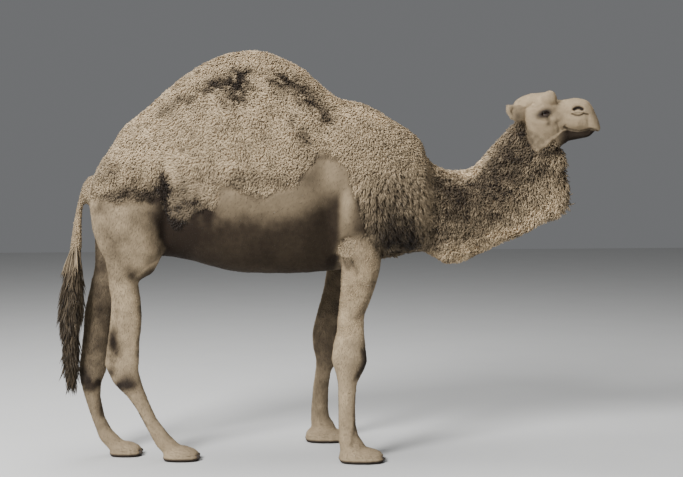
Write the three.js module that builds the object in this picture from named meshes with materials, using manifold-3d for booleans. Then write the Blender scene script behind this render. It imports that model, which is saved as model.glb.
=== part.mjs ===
// A standing dromedary, the one-humped camel, at life size and in its thick half-moulted coat.
// Millimetres, +X towards the head, +Y to the animal's left, +Z up, soles on z = 0.
// Every solid is a loft of rounded rings along a smooth axis, taken out to the tips of the coat.
import * as THREE from 'three';
import { mergeVertices } from 'three/addons/utils/BufferGeometryUtils.js';
import Module from 'manifold-3d';

const wasm = await Module();
wasm.setup();

// ---- driving dimensions -------------------------------------------------------------------
const GAP = 0.3;               // clearance between neighbouring sub-parts
const BODY_MIDDLE = [-8.3, 15]; // x and y of the middle of the animal's box, put on the origin
const TRUNK_SIDES = 24;
const TRUNK_STEPS = 22;
const BARREL_MIDDLE = 1335;    // height at which the barrel is widest
const NECK_SIDES = 14;
const HEAD_SIDES = 18;
const JAW_SIDES = 12;
const LEG_SIDES = 12;
const FOOT_SIDES = 12;
const TAIL_SIDES = 10;
const TURN_START = 600;        // where along x the neck begins to swing to the right
const TURN_LENGTH = 420;
const HEAD_TURN = THREE.MathUtils.degToRad(18);
const FORE_STANCE = { right: -225, left: 255 };   // y of the middle of each fore foot
const HIND_STANCE = { right: -102, left: 30 };    // y of the middle of each hind foot
const FOOT_HEIGHT = 62;
const SOLE_ROUND = 16;         // height of the foot's widest level over the sole
// The slot between the toes: half its width in front, and its length as a share of the foot's.
const CLEFT = { half: 7, share: 0.3 };
const EYE_RADIUS = 23;
const EYE_PLACE = [1126, 74, 1768];
// Each nail: its half sizes, its middle behind the toe's tip, its height, its place across as a
// share of the foot's width, and how far it tips down.
const NAIL = { size: [17, 16, 12], setback: 11, height: 20, across: 0.2, tip: -0.35, clear: 4 };
const SIDE_REACH = 160;        // distance from the middle at which the trunk's swellings are full
const END_CROWDING = 0.65;     // how much closer the trunk's rings stand at its two ends

// Heights along the body in side view: x, z.
const BACK_LINE = [
  [-1262, 1400], [-1225, 1478], [-1150, 1568], [-1085, 1684], [-1030, 1754], [-950, 1800],
  [-860, 1896], [-760, 1970], [-620, 2060], [-480, 2096], [-350, 2105], [-240, 2066],
  [-120, 2014], [-60, 1950], [0, 1880], [45, 1853], [110, 1860], [200, 1828], [320, 1760],
  [420, 1696], [480, 1652], [508, 1575], [522, 1480],
];
const BELLY_LINE = [
  [-1262, 1345], [-1225, 1290], [-1150, 1170], [-1060, 1095], [-960, 1050], [-850, 1030], [-730, 1012],
  [-620, 978], [-470, 945], [-200, 938], [0, 950], [150, 990], [300, 1016], [420, 1034],
  [490, 1070], [522, 1200],
];
// Half the width of the trunk: x, y.
const TRUNK_WIDTH = [
  [-1262, 50], [-1215, 120], [-1130, 176], [-1000, 214], [-880, 236], [-760, 272], [-600, 302],
  [-430, 312], [-250, 308], [-80, 290], [60, 270], [220, 256], [340, 240], [440, 214],
  [495, 182], [522, 126],
];
// How pointed the upper half of the section is, 2 for an ellipse: x, power.
const BACK_ROUNDNESS = [
  [-1262, 2], [-1000, 2], [-600, 1.8], [-300, 1.75], [0, 1.9], [150, 1.95], [522, 2],
];
// Broad swellings and hollows of the trunk's side: x, z, reach along x, reach along z, height.
const TRUNK_FORMS = [
  [190, 1440, 170, 260, 20],     // shoulder blade and its long cape of hair
  [400, 1250, 110, 170, 14],     // fringe of the cape over the base of the neck
  [-20, 1240, 70, 200, -22],     // hollow behind the shoulder
  [-380, 1640, 330, 150, 16],    // wool blanket on the side of the hump
  [-560, 1330, 120, 90, 12],     // lower corner of the blanket
  [-800, 1190, 70, 170, -46],    // flank hollow in front of the thigh
  [-330, 1080, 260, 80, 10],     // belly
];
// The cut between hump and back, as two points x, z in side view.
const HUMP_FOOT = [[-960, 1795], [40, 1870]];

// Neck ribs from the chest to the throat: nape x, z, then the matching point under the neck x, z,
// half the width, and how square the upper and the lower half are.
const NECK_RIBS = [
  [400, 1540, 400, 1060, 138, 2, 2],
  [500, 1548, 512, 1034, 156, 2, 2],
  [570, 1507, 608, 966, 156, 2, 2],
  [640, 1485, 705, 984, 150, 2, 1.9],
  [705, 1486, 805, 1034, 140, 2, 1.8],
  [762, 1517, 905, 1080, 131, 2, 1.75],
  [806, 1572, 1010, 1122, 124, 2, 1.65],
  [850, 1628, 1112, 1174, 117, 2, 1.6],
  [896, 1680, 1212, 1222, 110, 2, 1.5],
  [936, 1718, 1268, 1296, 102, 2, 1.5],
  [968, 1744, 1270, 1400, 92, 2, 1.5],
  [1000, 1766, 1262, 1500, 80, 2, 1.6],
  [1040, 1780, 1232, 1576, 62, 2, 2],
];
const NECK_MIDDLE_SHARE = 0.52;   // where along each rib, from below, the neck is widest
const NECK_CUTS = [                                  // point x, z and slope of each cut
  { at: [735, 1262], along: [0.94, 0.34] },
  { at: [960, 1390], along: [0.78, 0.63] },
];

// Rings are rows of numbers: x, y, z of the middle, then half sizes towards the front or top,
// towards the back or bottom, and sideways, then how square the two halves are (2 = ellipse).
const HEAD_RINGS = [
  [956, 0, 1808, 30, 34, 36, 2, 2],
  [984, 0, 1800, 64, 60, 62, 2, 2],
  [1022, 0, 1790, 94, 76, 78, 2, 2],
  [1056, 0, 1774, 118, 86, 90, 2, 2.1],
  [1088, 0, 1756, 137, 132, 95, 2, 2.2],
  [1120, 0, 1749, 138, 152, 96, 2, 2.2],
  [1158, 0, 1752, 116, 134, 88, 2, 2.2],
  [1196, 0, 1757, 84, 84, 73, 2.1, 2.4],
  [1232, 0, 1761, 83, 76, 65, 2.2, 2.5],
  [1278, 0, 1763, 89, 80, 66, 2.2, 2.6],
  [1308, 0, 1757, 85, 77, 67, 2.2, 2.6],
  [1332, 0, 1746, 63, 67, 61, 2.1, 2.4],
  [1357, 0, 1724, 38, 47, 51, 2, 2.2],
  [1380, 0, 1701, 22, 25, 36, 2, 2],
  [1396, 0, 1689, 8, 10, 16, 2, 2],
];
// Eggs on and in the head: middle, half sizes, and for the nostril how steeply it climbs.
const BROW = { at: [1144, 66, 1850], size: [46, 26, 40] };
const NOSTRIL = { at: [1294, 66, 1788], size: [28, 12, 7], slope: 0.35 };
const JAW_RINGS = [
  [1118, 0, 1648, 40, 46, 54, 2, 2],
  [1180, 0, 1650, 44, 47, 54, 2, 2],
  [1236, 0, 1655, 36, 36, 48, 2, 2],
  [1290, 0, 1658, 28, 27, 45, 2.2, 2],
  [1334, 0, 1661, 21, 19, 41, 2.2, 2],
  [1359, 0, 1666, 12, 12, 31, 2, 2],
  [1369, 0, 1670, 5, 5, 16, 2, 2],
];
const EAR_RINGS = [
  [1032, 60, 1770, 22, 24, 12, 2, 2],
  [1010, 78, 1772, 38, 44, 16, 2, 2],
  [984, 93, 1775, 44, 50, 16, 2, 2],
  [959, 104, 1783, 37, 42, 12, 2, 2],
  [938, 111, 1799, 22, 26, 8, 2, 2],
  [926, 116, 1813, 6, 8, 4, 2, 2],
];
const EAR_HOLLOW = { at: [972, 112, 1780], size: [32, 13, 33] };

// Legs from the top down; the rings' front is towards +X.
const FORELEG_RINGS = {
  right: [
    [136, -168, 1150, 100, 100, 68, 2, 2],
    [138, -172, 1060, 118, 118, 74, 2, 2],
    [136, -176, 977, 107, 107, 72, 2, 2],
    [122, -182, 900, 98, 98, 66, 2, 2],
    [106, -188, 825, 86, 87, 60, 2, 2],
    [84, -193, 750, 76, 74, 54, 2, 2],
    [82, -198, 660, 76, 78, 52, 2, 2],
    [75, -203, 585, 84, 86, 56, 2.2, 2.2],
    [72, -206, 515, 92, 91, 60, 2.3, 2.2],
    [70, -209, 450, 70, 68, 50, 2.2, 2.2],
    [64, -212, 395, 50, 50, 40, 2.2, 2.2],
    [61, -217, 290, 46, 46, 37, 2.2, 2.2],
    [62, -221, 190, 47, 47, 39, 2.2, 2.2],
    [68, -224, 125, 54, 52, 46, 2.1, 2.1],
    [86, -225, 70, 68, 62, 56, 2, 2],
    [98, -225, 25, 66, 60, 54, 2, 2],
  ],
  left: [
    [120, 168, 1150, 100, 100, 68, 2, 2],
    [112, 174, 1060, 114, 114, 74, 2, 2],
    [98, 180, 977, 104, 104, 72, 2, 2],
    [76, 188, 900, 94, 94, 66, 2, 2],
    [54, 196, 825, 84, 84, 60, 2, 2],
    [28, 204, 750, 74, 76, 54, 2, 2],
    [4, 214, 660, 75, 78, 52, 2, 2],
    [-3, 222, 585, 80, 80, 56, 2.2, 2.2],
    [2, 228, 515, 80, 78, 58, 2.3, 2.2],
    [-2, 233, 450, 62, 60, 48, 2.2, 2.2],
    [-18, 238, 395, 45, 44, 39, 2.2, 2.2],
    [-31, 245, 290, 45, 46, 37, 2.2, 2.2],
    [-36, 250, 190, 47, 49, 39, 2.2, 2.2],
    [-34, 253, 125, 54, 54, 46, 2.1, 2.1],
    [-18, 255, 70, 68, 62, 56, 2, 2],
    [-6, 255, 25, 66, 60, 54, 2, 2],
  ],
};
const HINDLEG_RINGS = {
  right: [
    [-1040, -118, 1530, 110, 110, 70, 2, 2],
    [-1042, -134, 1440, 170, 166, 104, 2, 2],
    [-1042, -139, 1330, 188, 188, 113, 2.1, 2.1],
    [-1036, -137, 1200, 182, 182, 110, 2.1, 2.1],
    [-1014, -129, 1070, 174, 166, 92, 2.1, 2],
    [-1030, -124, 1000, 134, 136, 76, 2, 2],
    [-1060, -118, 925, 76, 82, 58, 2, 2],
    [-1050, -112, 835, 77, 74, 54, 2, 2],
    [-1047, -109, 740, 83, 82, 51, 2, 2],
    [-1062, -106, 600, 82, 85, 46, 2, 2.1],
    [-1072, -105, 500, 88, 90, 47, 2.2, 2.3],
    [-1052, -104, 430, 72, 72, 44, 2.2, 2.2],
    [-1012, -103, 362, 52, 50, 36, 2.2, 2.2],
    [-974, -102, 290, 40, 39, 31, 2.2, 2.2],
    [-930, -102, 198, 37, 36, 32, 2.2, 2.2],
    [-868, -102, 98, 46, 44, 43, 2, 2],
    [-796, -102, 26, 45, 42, 45, 2, 2],
  ],
  left: [
    [-1042, 118, 1530, 110, 110, 70, 2, 2],
    [-1046, 134, 1440, 170, 166, 104, 2, 2],
    [-1054, 139, 1330, 186, 180, 112, 2.1, 2.1],
    [-1070, 135, 1200, 177, 164, 108, 2.1, 2.1],
    [-1094, 124, 1070, 150, 140, 90, 2, 2],
    [-1130, 112, 950, 108, 106, 68, 2, 2],
    [-1174, 100, 845, 80, 80, 55, 2, 2],
    [-1198, 88, 745, 77, 80, 51, 2, 2],
    [-1214, 74, 610, 72, 74, 46, 2, 2.1],
    [-1224, 65, 520, 74, 74, 45, 2.1, 2.2],
    [-1236, 59, 445, 74, 71, 46, 2.2, 2.3],
    [-1243, 54, 380, 55, 55, 40, 2.2, 2.2],
    [-1234, 48, 305, 42, 43, 34, 2.2, 2.2],
    [-1206, 40, 195, 35, 35, 31, 2.2, 2.2],
    [-1168, 33, 108, 42, 40, 38, 2.1, 2.1],
    [-1098, 30, 30, 46, 40, 44, 2, 2],
  ],
};
// Each foot: where the heel is along x, its length and its width.
const FEET = {
  fore_right: { heel: 22, length: 226, width: 190, y: FORE_STANCE.right },
  fore_left: { heel: -112, length: 222, width: 190, y: FORE_STANCE.left },
  hind_right: { heel: -868, length: 182, width: 150, y: HIND_STANCE.right },
  hind_left: { heel: -1148, length: 164, width: 144, y: HIND_STANCE.left },
};
const KNEE_HEIGHTS = [640, 425];      // cuts above and below the knee of a foreleg
const HOCK_HEIGHTS = [620, 400];      // cuts above and below the hock of a hind leg
const STIFLE_HEIGHT = 925;            // cut between thigh and gaskin
const FETLOCK_HEIGHT = 118;           // cut above every foot
// Foot rings from heel to toe: share of the length, of the height and of the half width.
const FOOT_SHAPE = [
  [0, 0.45, 0.42], [0.08, 0.82, 0.7], [0.3, 1.04, 0.92], [0.62, 0.9, 1],
  [0.85, 0.63, 0.9], [0.96, 0.42, 0.66], [1, 0.22, 0.36],
];

const TAIL_RINGS = [
  [-1215, 0, 1440, 30, 30, 30, 2, 2],
  [-1252, 0, 1400, 27, 24, 26, 2, 2],
  [-1280, 0, 1310, 23, 22, 24, 2, 2],
  [-1297, 0, 1200, 29, 28, 27, 2, 2],
  [-1303, -2, 1110, 36, 34, 31, 2, 2],
  [-1312, -4, 1030, 38, 38, 35, 2, 2],
  [-1321, -5, 930, 54, 54, 43, 2, 2],
  [-1328, -6, 840, 62, 62, 48, 2, 2],
  [-1334, -6, 740, 58, 60, 48, 2, 2],
  [-1337, -6, 640, 46, 46, 42, 2, 2],
  [-1335, -6, 550, 38, 42, 34, 2, 2],
  [-1330, -6, 480, 25, 30, 24, 2, 2],
  [-1326, -6, 436, 9, 10, 9, 2, 2],
];
const TAIL_CUT_HEIGHT = 1065;

// ---- finishes -----------------------------------------------------------------------------
const finish = (name, color, roughness) =>
  new THREE.MeshStandardMaterial({ name, color, roughness, metalness: 0 });
const WOOL = finish('wool', 0xc4b090, 0.95);
const SHORT_COAT = finish('short coat', 0xb09a7a, 0.85);
const EYE = finish('eye', 0x1a1310, 0.15);
const HORN = finish('nail', 0x4a4036, 0.5);

// ---- tools for rounded solids -------------------------------------------------------------
/** A smooth curve through [t, value] points that never overshoots them. */
function profile(points) {
  const t = points.map((p) => p[0]);
  const v = points.map((p) => p[1]);
  const last = t.length - 1;
  const step = (i) => (v[i + 1] - v[i]) / (t[i + 1] - t[i]);
  const slope = t.map((_, i) => {
    if (i === 0) return step(0);
    if (i === last) return step(last - 1);
    const before = step(i - 1);
    const after = step(i);
    return before * after <= 0 ? 0 : (2 * before * after) / (before + after);
  });
  return (x) => {
    let i = 0;
    while (i < last - 1 && x > t[i + 1]) i += 1;
    const width = t[i + 1] - t[i];
    const s = THREE.MathUtils.clamp((x - t[i]) / width, 0, 1);
    const [s2, s3] = [s * s, s * s * s];
    return (2 * s3 - 3 * s2 + 1) * v[i] + (s3 - 2 * s2 + s) * width * slope[i]
      + (3 * s2 - 2 * s3) * v[i + 1] + (s3 - s2) * width * slope[i + 1];
  };
}

/** Swings what lies ahead of TURN_START to the right along an arc, up to HEAD_TURN. */
function swing(point) {
  const along = point.x - TURN_START;
  if (along <= 0) return point;
  const radius = TURN_LENGTH / HEAD_TURN;
  const angle = Math.min(along / radius, HEAD_TURN);
  const rest = Math.max(along - TURN_LENGTH, 0);
  const [c, s] = [Math.cos(angle), Math.sin(angle)];
  const forward = TURN_START + radius * s + rest * c + point.y * s;
  const left = point.y * c - radius * (1 - c) - rest * s;
  return point.set(forward, left, point.z);
}

/** A closed mesh as a manifold solid. */
function solid(geometry) {
  const bare = geometry.clone();
  const { position } = bare.attributes;
  for (let i = 0; i < position.count; i += 1) {
    position.setXYZ(i, ...swing(new THREE.Vector3().fromBufferAttribute(position, i)));
  }
  for (const name of ['normal', 'uv']) bare.deleteAttribute(name);
  const merged = mergeVertices(bare, 1e-3);
  return new wasm.Manifold(new wasm.Mesh({
    numProp: 3,
    vertProperties: new Float32Array(merged.attributes.position.array),
    triVerts: new Uint32Array(merged.index.array),
  }));
}

/** Rings of points, all of one length, joined into a closed skin with a fan at each end. */
function ringSolid(rings) {
  const count = rings[0].length;
  const middles = [rings[0], rings[rings.length - 1]].map((ring) =>
    ring.reduce((sum, p) => sum.add(p), new THREE.Vector3()).divideScalar(count));
  const points = [...rings.flat(), ...middles];
  const index = [];
  for (let r = 0; r < rings.length - 1; r += 1) {
    for (let k = 0; k < count; k += 1) {
      const a = r * count + k;
      const b = r * count + ((k + 1) % count);
      index.push(a, a + count, b, b, a + count, b + count);
    }
  }
  const [first, last] = [points.length - 2, points.length - 1];
  const top = (rings.length - 1) * count;
  for (let k = 0; k < count; k += 1) {
    const next = (k + 1) % count;
    index.push(first, k, next, last, top + next, top + k);
  }
  const geometry = new THREE.BufferGeometry().setFromPoints(points);
  geometry.setIndex(index);
  return solid(geometry);
}

/** Points round a rounded ring, its first half towards `toFront`, each pushed out by `relief`. */
function ring(middle, toFront, across, sizes, sides, relief = () => 0) {
  return Array.from({ length: sides }, (_, k) => {
    const turn = (2 * Math.PI * k) / sides;
    const [c, s] = [Math.cos(turn), Math.sin(turn)];
    const power = 2 / (c > 0 ? sizes.foreSquare : sizes.rearSquare);
    const f = Math.sign(c) * Math.abs(c) ** power * (c > 0 ? sizes.fore : sizes.rear);
    const a = Math.sign(s) * Math.abs(s) ** power * sizes.wide;
    const point = middle.clone().addScaledVector(toFront, f).addScaledVector(across, a);
    const outward = toFront.clone().multiplyScalar(c).addScaledVector(across, s);
    return point.addScaledVector(outward, relief(point));
  });
}

/** A rounded solid through rows of ring numbers. `front` is the way each ring's first half
 * faces, `grow` adds to every size, and `relief` pushes each point out by its own amount. */
function loft(rows, { front, sides, steps, grow = 0, relief = () => 0 }) {
  const columns = rows[0].map((_, c) => profile(rows.map((row, r) => [r, row[c]])));
  const count = (rows.length - 1) * steps;
  const last = rows.length - 1;
  const axis = (u) => new THREE.Vector3(columns[0](u), columns[1](u), columns[2](u));
  const rings = [];
  for (let i = 0; i <= count; i += 1) {
    const u = i / steps;
    const ahead = axis(Math.min(u + 0.25, last)).sub(axis(Math.max(u - 0.25, 0))).normalize();
    const across = new THREE.Vector3().crossVectors(front, ahead).normalize();
    const toFront = new THREE.Vector3().crossVectors(ahead, across);
    const end = i === 0 ? -grow : i === count ? grow : 0;
    const middle = axis(u).addScaledVector(ahead, end);
    const [fore, rear, wide, foreSquare, rearSquare] = columns.slice(3).map((column) => column(u));
    const sizes = { fore: fore + grow, rear: rear + grow, wide: wide + grow, foreSquare, rearSquare };
    rings.push(ring(middle, toFront, across, sizes, sides, relief));
  }
  return ringSolid(rings);
}

/** An ellipsoid, turned about Y by `slope` radians. */
function egg(at, size, { grow = 0, slope = 0, sides = 10 } = {}) {
  const geometry = new THREE.SphereGeometry(1, sides, Math.round(sides * 0.7));
  geometry.scale(...size.map((s) => s + grow));
  geometry.rotateY(-slope);
  geometry.translate(...at);
  return solid(geometry);
}

const mirrored = (point, side) => [point[0], point[1] * side, point[2]];
const join = (...solids) => solids.reduce((sum, next) => sum.add(next));

/** A solid parted by a plane through `point`, with half the gap taken from each side. */
function part(body, point, normal) {
  const n = new THREE.Vector3(...normal).normalize();
  const level = n.dot(new THREE.Vector3(...point));
  const ahead = body.trimByPlane(n.toArray(), level + GAP / 2);
  const behind = body.trimByPlane(n.clone().negate().toArray(), -(level - GAP / 2));
  return [ahead, behind];
}

/** A leg cut across at falling heights, giving its lengths from the top down. */
function lengths(body, heights) {
  const pieces = [];
  let rest = body;
  for (const height of heights) {
    const [upper, lower] = part(rest, [0, 0, height], [0, 0, 1]);
    pieces.push(upper);
    rest = lower;
  }
  return [...pieces, rest];
}

// ---- the animal's solids ------------------------------------------------------------------
const UP = new THREE.Vector3(0, 0, 1);
const FORWARD = new THREE.Vector3(1, 0, 0);
const LEFT = new THREE.Vector3(0, 1, 0);

function trunkRelief(point) {
  const onSide = Math.min(Math.abs(point.y) / SIDE_REACH, 1);
  return TRUNK_FORMS.reduce((sum, [x, z, reachX, reachZ, height]) => {
    const away = ((point.x - x) / reachX) ** 2 + ((point.z - z) / reachZ) ** 2;
    return sum + height * onSide * Math.exp(-away);
  }, 0);
}

function trunkSolid(grow = 0) {
  const [back, belly, width, roundness] =
    [BACK_LINE, BELLY_LINE, TRUNK_WIDTH, BACK_ROUNDNESS].map(profile);
  const [tail, chest] = [BACK_LINE[0][0], BACK_LINE[BACK_LINE.length - 1][0]];
  const rows = [];
  for (let i = 0; i <= TRUNK_STEPS; i += 1) {
    // Rings stand closer together towards both ends, where the outline turns.
    const share = 0.5 - 0.5 * Math.cos((Math.PI * i) / TRUNK_STEPS);
    const along = THREE.MathUtils.lerp(i / TRUNK_STEPS, share, END_CROWDING);
    const x = THREE.MathUtils.lerp(tail, chest, along);
    const middle = Math.min(Math.max(BARREL_MIDDLE, belly(x) + 40), back(x) - 40);
    rows.push([x, 0, middle, back(x) - middle, middle - belly(x), width(x), roundness(x), 2.15]);
  }
  return loft(rows, { front: UP, sides: TRUNK_SIDES, steps: 1, grow, relief: trunkRelief });
}

function neckSolid() {
  const rings = NECK_RIBS.map(([napeX, napeZ, lowX, lowZ, wide, foreSquare, rearSquare]) => {
    const nape = new THREE.Vector3(napeX, 0, napeZ);
    const low = new THREE.Vector3(lowX, 0, lowZ);
    const middle = low.clone().lerp(nape, NECK_MIDDLE_SHARE);
    const toNape = nape.clone().sub(low).normalize();
    const [fore, rear] = [middle.distanceTo(nape), middle.distanceTo(low)];
    return ring(middle, toNape, LEFT, { fore, rear, wide, foreSquare, rearSquare }, NECK_SIDES);
  });
  return ringSolid(rings);
}

function headSolid(grow = 0) {
  const skull = loft(HEAD_RINGS, { front: UP, sides: HEAD_SIDES, steps: 1, grow });
  const brows = [1, -1].map((side) => egg(mirrored(BROW.at, side), BROW.size, { grow, sides: 8 }));
  return join(skull, ...brows);
}

const jawSolid = (grow = 0) => loft(JAW_RINGS, { front: UP, sides: JAW_SIDES, steps: 1, grow });
const eyeSolid = (side, grow = 0) =>
  egg(mirrored(EYE_PLACE, side), [EYE_RADIUS, EYE_RADIUS, EYE_RADIUS], { grow, sides: 9 });

function earSolid(side) {
  const rows = EAR_RINGS.map(([x, y, z, ...sizes]) => [x, y * side, z, ...sizes]);
  const leaf = loft(rows, { front: UP, sides: 10, steps: 1 });
  return leaf.subtract(egg(mirrored(EAR_HOLLOW.at, side), EAR_HOLLOW.size, { sides: 8 }));
}

/** A broad two-toed pad with a flat sole. */
function footSolid({ heel, length, width, y }, grow = 0) {
  const rows = FOOT_SHAPE.map(([along, tall, wide]) =>
    [heel + along * length, y, SOLE_ROUND, FOOT_HEIGHT * tall, 30, (width / 2) * wide, 2, 2.6]);
  const pad = loft(rows, { front: UP, sides: FOOT_SIDES, steps: 1, grow });
  return pad.trimByPlane([0, 0, 1], 0);
}

/** The tapering slot between the toes, open to the front and the sole. */
function cleftSolid({ heel, length, y }) {
  const depth = length * CLEFT.share;
  const reach = depth + 20;   // past the toes
  const corners = [[0, 0], [reach, -CLEFT.half], [reach, CLEFT.half]];
  const outline = new THREE.Shape(corners.map(([x, side]) => new THREE.Vector2(x, side)));
  const geometry = new THREE.ExtrudeGeometry(outline, { depth: FOOT_HEIGHT * 1.4, bevelEnabled: false });
  geometry.translate(heel + length - depth, y, -5);
  return solid(geometry);
}

function nailSolid({ heel, length, width, y }, side, grow = 0) {
  const at = [heel + length - NAIL.setback, y + side * width * NAIL.across, NAIL.height];
  return egg(at, NAIL.size, { grow, slope: NAIL.tip, sides: 7 });
}

const legSolid = (rows, grow = 0) => loft(rows, { front: FORWARD, sides: LEG_SIDES, steps: 1, grow });

/** Leg and foot together, with the cleft and the two nail beds cut. */
function standingLeg(rows, foot) {
  const whole = join(legSolid(rows).trimByPlane([0, 0, 1], 0), footSolid(foot));
  const beds = [1, -1].map((side) => nailSolid(foot, side, GAP));
  return whole.subtract(cleftSolid(foot)).subtract(join(...beds));
}

// ---- nodes --------------------------------------------------------------------------------
/** A named mesh standing at the middle of its own box. */
function node(name, body, material) {
  const { vertProperties, triVerts } = body.getMesh();
  const geometry = new THREE.BufferGeometry();
  geometry.setAttribute('position', new THREE.Float32BufferAttribute(vertProperties, 3));
  geometry.setIndex([...triVerts]);
  geometry.computeBoundingBox();
  const middle = geometry.boundingBox.getCenter(new THREE.Vector3());
  geometry.translate(-middle.x, -middle.y, -middle.z);
  geometry.computeVertexNormals();
  const mesh = new THREE.Mesh(geometry, material);
  mesh.name = name;
  mesh.position.copy(middle);
  return mesh;
}

const LEGS = {
  fore: {
    rings: FORELEG_RINGS,
    names: ['forearm', 'knee', 'cannon', 'foot'],
    cuts: [...KNEE_HEIGHTS, FETLOCK_HEIGHT],
  },
  hind: {
    rings: HINDLEG_RINGS,
    names: ['thigh', 'gaskin', 'hock', 'cannon', 'foot'],
    cuts: [STIFLE_HEIGHT, ...HOCK_HEIGHTS, FETLOCK_HEIGHT],
  },
};

function legNodes(kind, side) {
  const { rings, names, cuts } = LEGS[kind];
  const foot = FEET[`${kind}_${side}`];
  const group = new THREE.Group();
  lengths(standingLeg(rings[side], foot), cuts).forEach((body, i) => {
    group.add(node(`${kind}leg_${side}_${names[i]}`, body, i === 0 ? WOOL : SHORT_COAT));
  });
  const inward = side === 'right' ? 1 : -1;
  for (const [place, toe] of [['inner', inward], ['outer', -inward]]) {
    const nail = nailSolid(foot, toe).trimByPlane([0, 0, 1], NAIL.clear);
    group.add(node(`${kind}leg_${side}_nail_${place}`, nail, HORN));
  }
  return group;
}

function headNodes() {
  const group = new THREE.Group();
  let head = headSolid();
  for (const [name, side] of [['left', 1], ['right', -1]]) {
    const nostril = egg(mirrored(NOSTRIL.at, side), NOSTRIL.size, { slope: NOSTRIL.slope, sides: 8 });
    head = head.subtract(eyeSolid(side, GAP)).subtract(nostril);
    group.add(node(`eye_${name}`, eyeSolid(side), EYE));
    group.add(node(`ear_${name}`, earSolid(side).subtract(headSolid(GAP)), SHORT_COAT));
  }
  group.add(node('head', head, SHORT_COAT));
  group.add(node('lower_jaw', jawSolid().subtract(headSolid(GAP)), SHORT_COAT));
  return group;
}

function neckNodes() {
  const group = new THREE.Group();
  const neighbours = join(headSolid(GAP), jawSolid(GAP), trunkSolid(GAP));
  let rest = neckSolid().subtract(neighbours);
  NECK_CUTS.forEach(({ at, along }, i) => {
    const [ahead, behind] = part(rest, [at[0], 0, at[1]], [along[0], 0, along[1]]);
    group.add(node(['neck_base', 'neck_middle'][i], behind, WOOL));
    rest = ahead;
  });
  group.add(node('neck_throat', rest, WOOL));
  return group;
}

function trunkNodes() {
  const group = new THREE.Group();
  const legTops = ['right', 'left'].flatMap((side) =>
    [FORELEG_RINGS[side], HINDLEG_RINGS[side]].map((rows) => legSolid(rows, GAP)));
  const body = legTops.reduce((rest, leg) => rest.subtract(leg), trunkSolid());
  const [[x1, z1], [x2, z2]] = HUMP_FOOT;
  const [hump, trunk] = part(body, [x1, 0, z1], [z1 - z2, 0, x2 - x1]);
  group.add(node('hump', hump, WOOL));
  group.add(node('trunk', trunk, WOOL));
  return group;
}

function tailNodes() {
  const group = new THREE.Group();
  const tail = loft(TAIL_RINGS, { front: FORWARD, sides: TAIL_SIDES, steps: 1 });
  const thighs = ['right', 'left'].map((side) => legSolid(HINDLEG_RINGS[side], GAP));
  const free = tail.subtract(join(trunkSolid(GAP), ...thighs));
  const [root, tuft] = part(free, [0, 0, TAIL_CUT_HEIGHT], [0, 0, 1]);
  group.add(node('tail_dock', root, SHORT_COAT));
  group.add(node('tail_tuft', tuft, WOOL));
  return group;
}

const camel = new THREE.Group();
camel.add(headNodes(), neckNodes(), trunkNodes(), tailNodes());
for (const kind of ['fore', 'hind']) {
  for (const side of ['right', 'left']) camel.add(legNodes(kind, side));
}
camel.position.set(-BODY_MIDDLE[0], -BODY_MIDDLE[1], 0);

export default camel;
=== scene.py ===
"""A standing dromedary at life size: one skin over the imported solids, with eyes, nails and a
half-moulted coat of solid tufts. Metres, +X towards the head, +Y to the animal's left, +Z up.

Shapes are worked out in straight places: the animal with its neck and head in line with its
body, measured from a point between its legs. bent() swings them into the standing pose."""
import math

import bmesh
import bpy
import numpy as np
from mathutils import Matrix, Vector
from mathutils.bvhtree import BVHTree


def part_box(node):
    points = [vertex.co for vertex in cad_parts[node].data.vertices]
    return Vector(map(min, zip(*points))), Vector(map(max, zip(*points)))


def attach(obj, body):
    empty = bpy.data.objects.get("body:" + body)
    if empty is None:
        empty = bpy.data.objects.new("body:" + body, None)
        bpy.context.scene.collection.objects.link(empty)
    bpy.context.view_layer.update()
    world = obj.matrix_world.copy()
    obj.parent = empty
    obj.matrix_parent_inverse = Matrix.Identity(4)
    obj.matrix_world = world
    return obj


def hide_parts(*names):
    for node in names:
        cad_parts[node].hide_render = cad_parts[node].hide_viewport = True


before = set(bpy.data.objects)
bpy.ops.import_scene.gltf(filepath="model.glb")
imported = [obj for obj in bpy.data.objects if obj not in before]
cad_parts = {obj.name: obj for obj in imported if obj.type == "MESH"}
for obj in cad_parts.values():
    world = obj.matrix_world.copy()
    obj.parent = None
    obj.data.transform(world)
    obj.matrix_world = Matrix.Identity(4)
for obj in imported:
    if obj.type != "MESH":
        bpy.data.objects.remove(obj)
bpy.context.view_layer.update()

bl_info = {
    "name": "Dromedary in a half-moulted coat",
    "version": (1, 0, 0),
    "blender": (4, 5, 0),
    "location": "3D View > Sidebar > Camel",
    "description": "Builds the skin, eyes, nails and coat of a standing dromedary",
    "category": "Object",
}

# ---- the straight places and the pose ------------------------------------------------------
BODY_MIDDLE = np.array([-0.0083, 0.015, 0.0])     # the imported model's middle, in straight places
# Where along the neck its sideways swing starts, over what length, and how far it goes.
TURN_START, TURN_LENGTH, HEAD_TURN = 0.600, 0.420, math.radians(18)
TURN_RADIUS = TURN_LENGTH / HEAD_TURN


def bent(points):
    """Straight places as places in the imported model's frame."""
    x, y, z = points.T
    along = x - TURN_START
    angle = np.clip(along / TURN_RADIUS, 0, HEAD_TURN)
    rest = np.where(along < 0, along, np.maximum(along - TURN_LENGTH, 0))
    c, s = np.cos(angle), np.sin(angle)
    forward = TURN_START + TURN_RADIUS * s + rest * c + y * s
    left = y * c - TURN_RADIUS * (1 - c) - rest * s
    return np.stack([forward, left, z], 1) - BODY_MIDDLE


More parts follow.
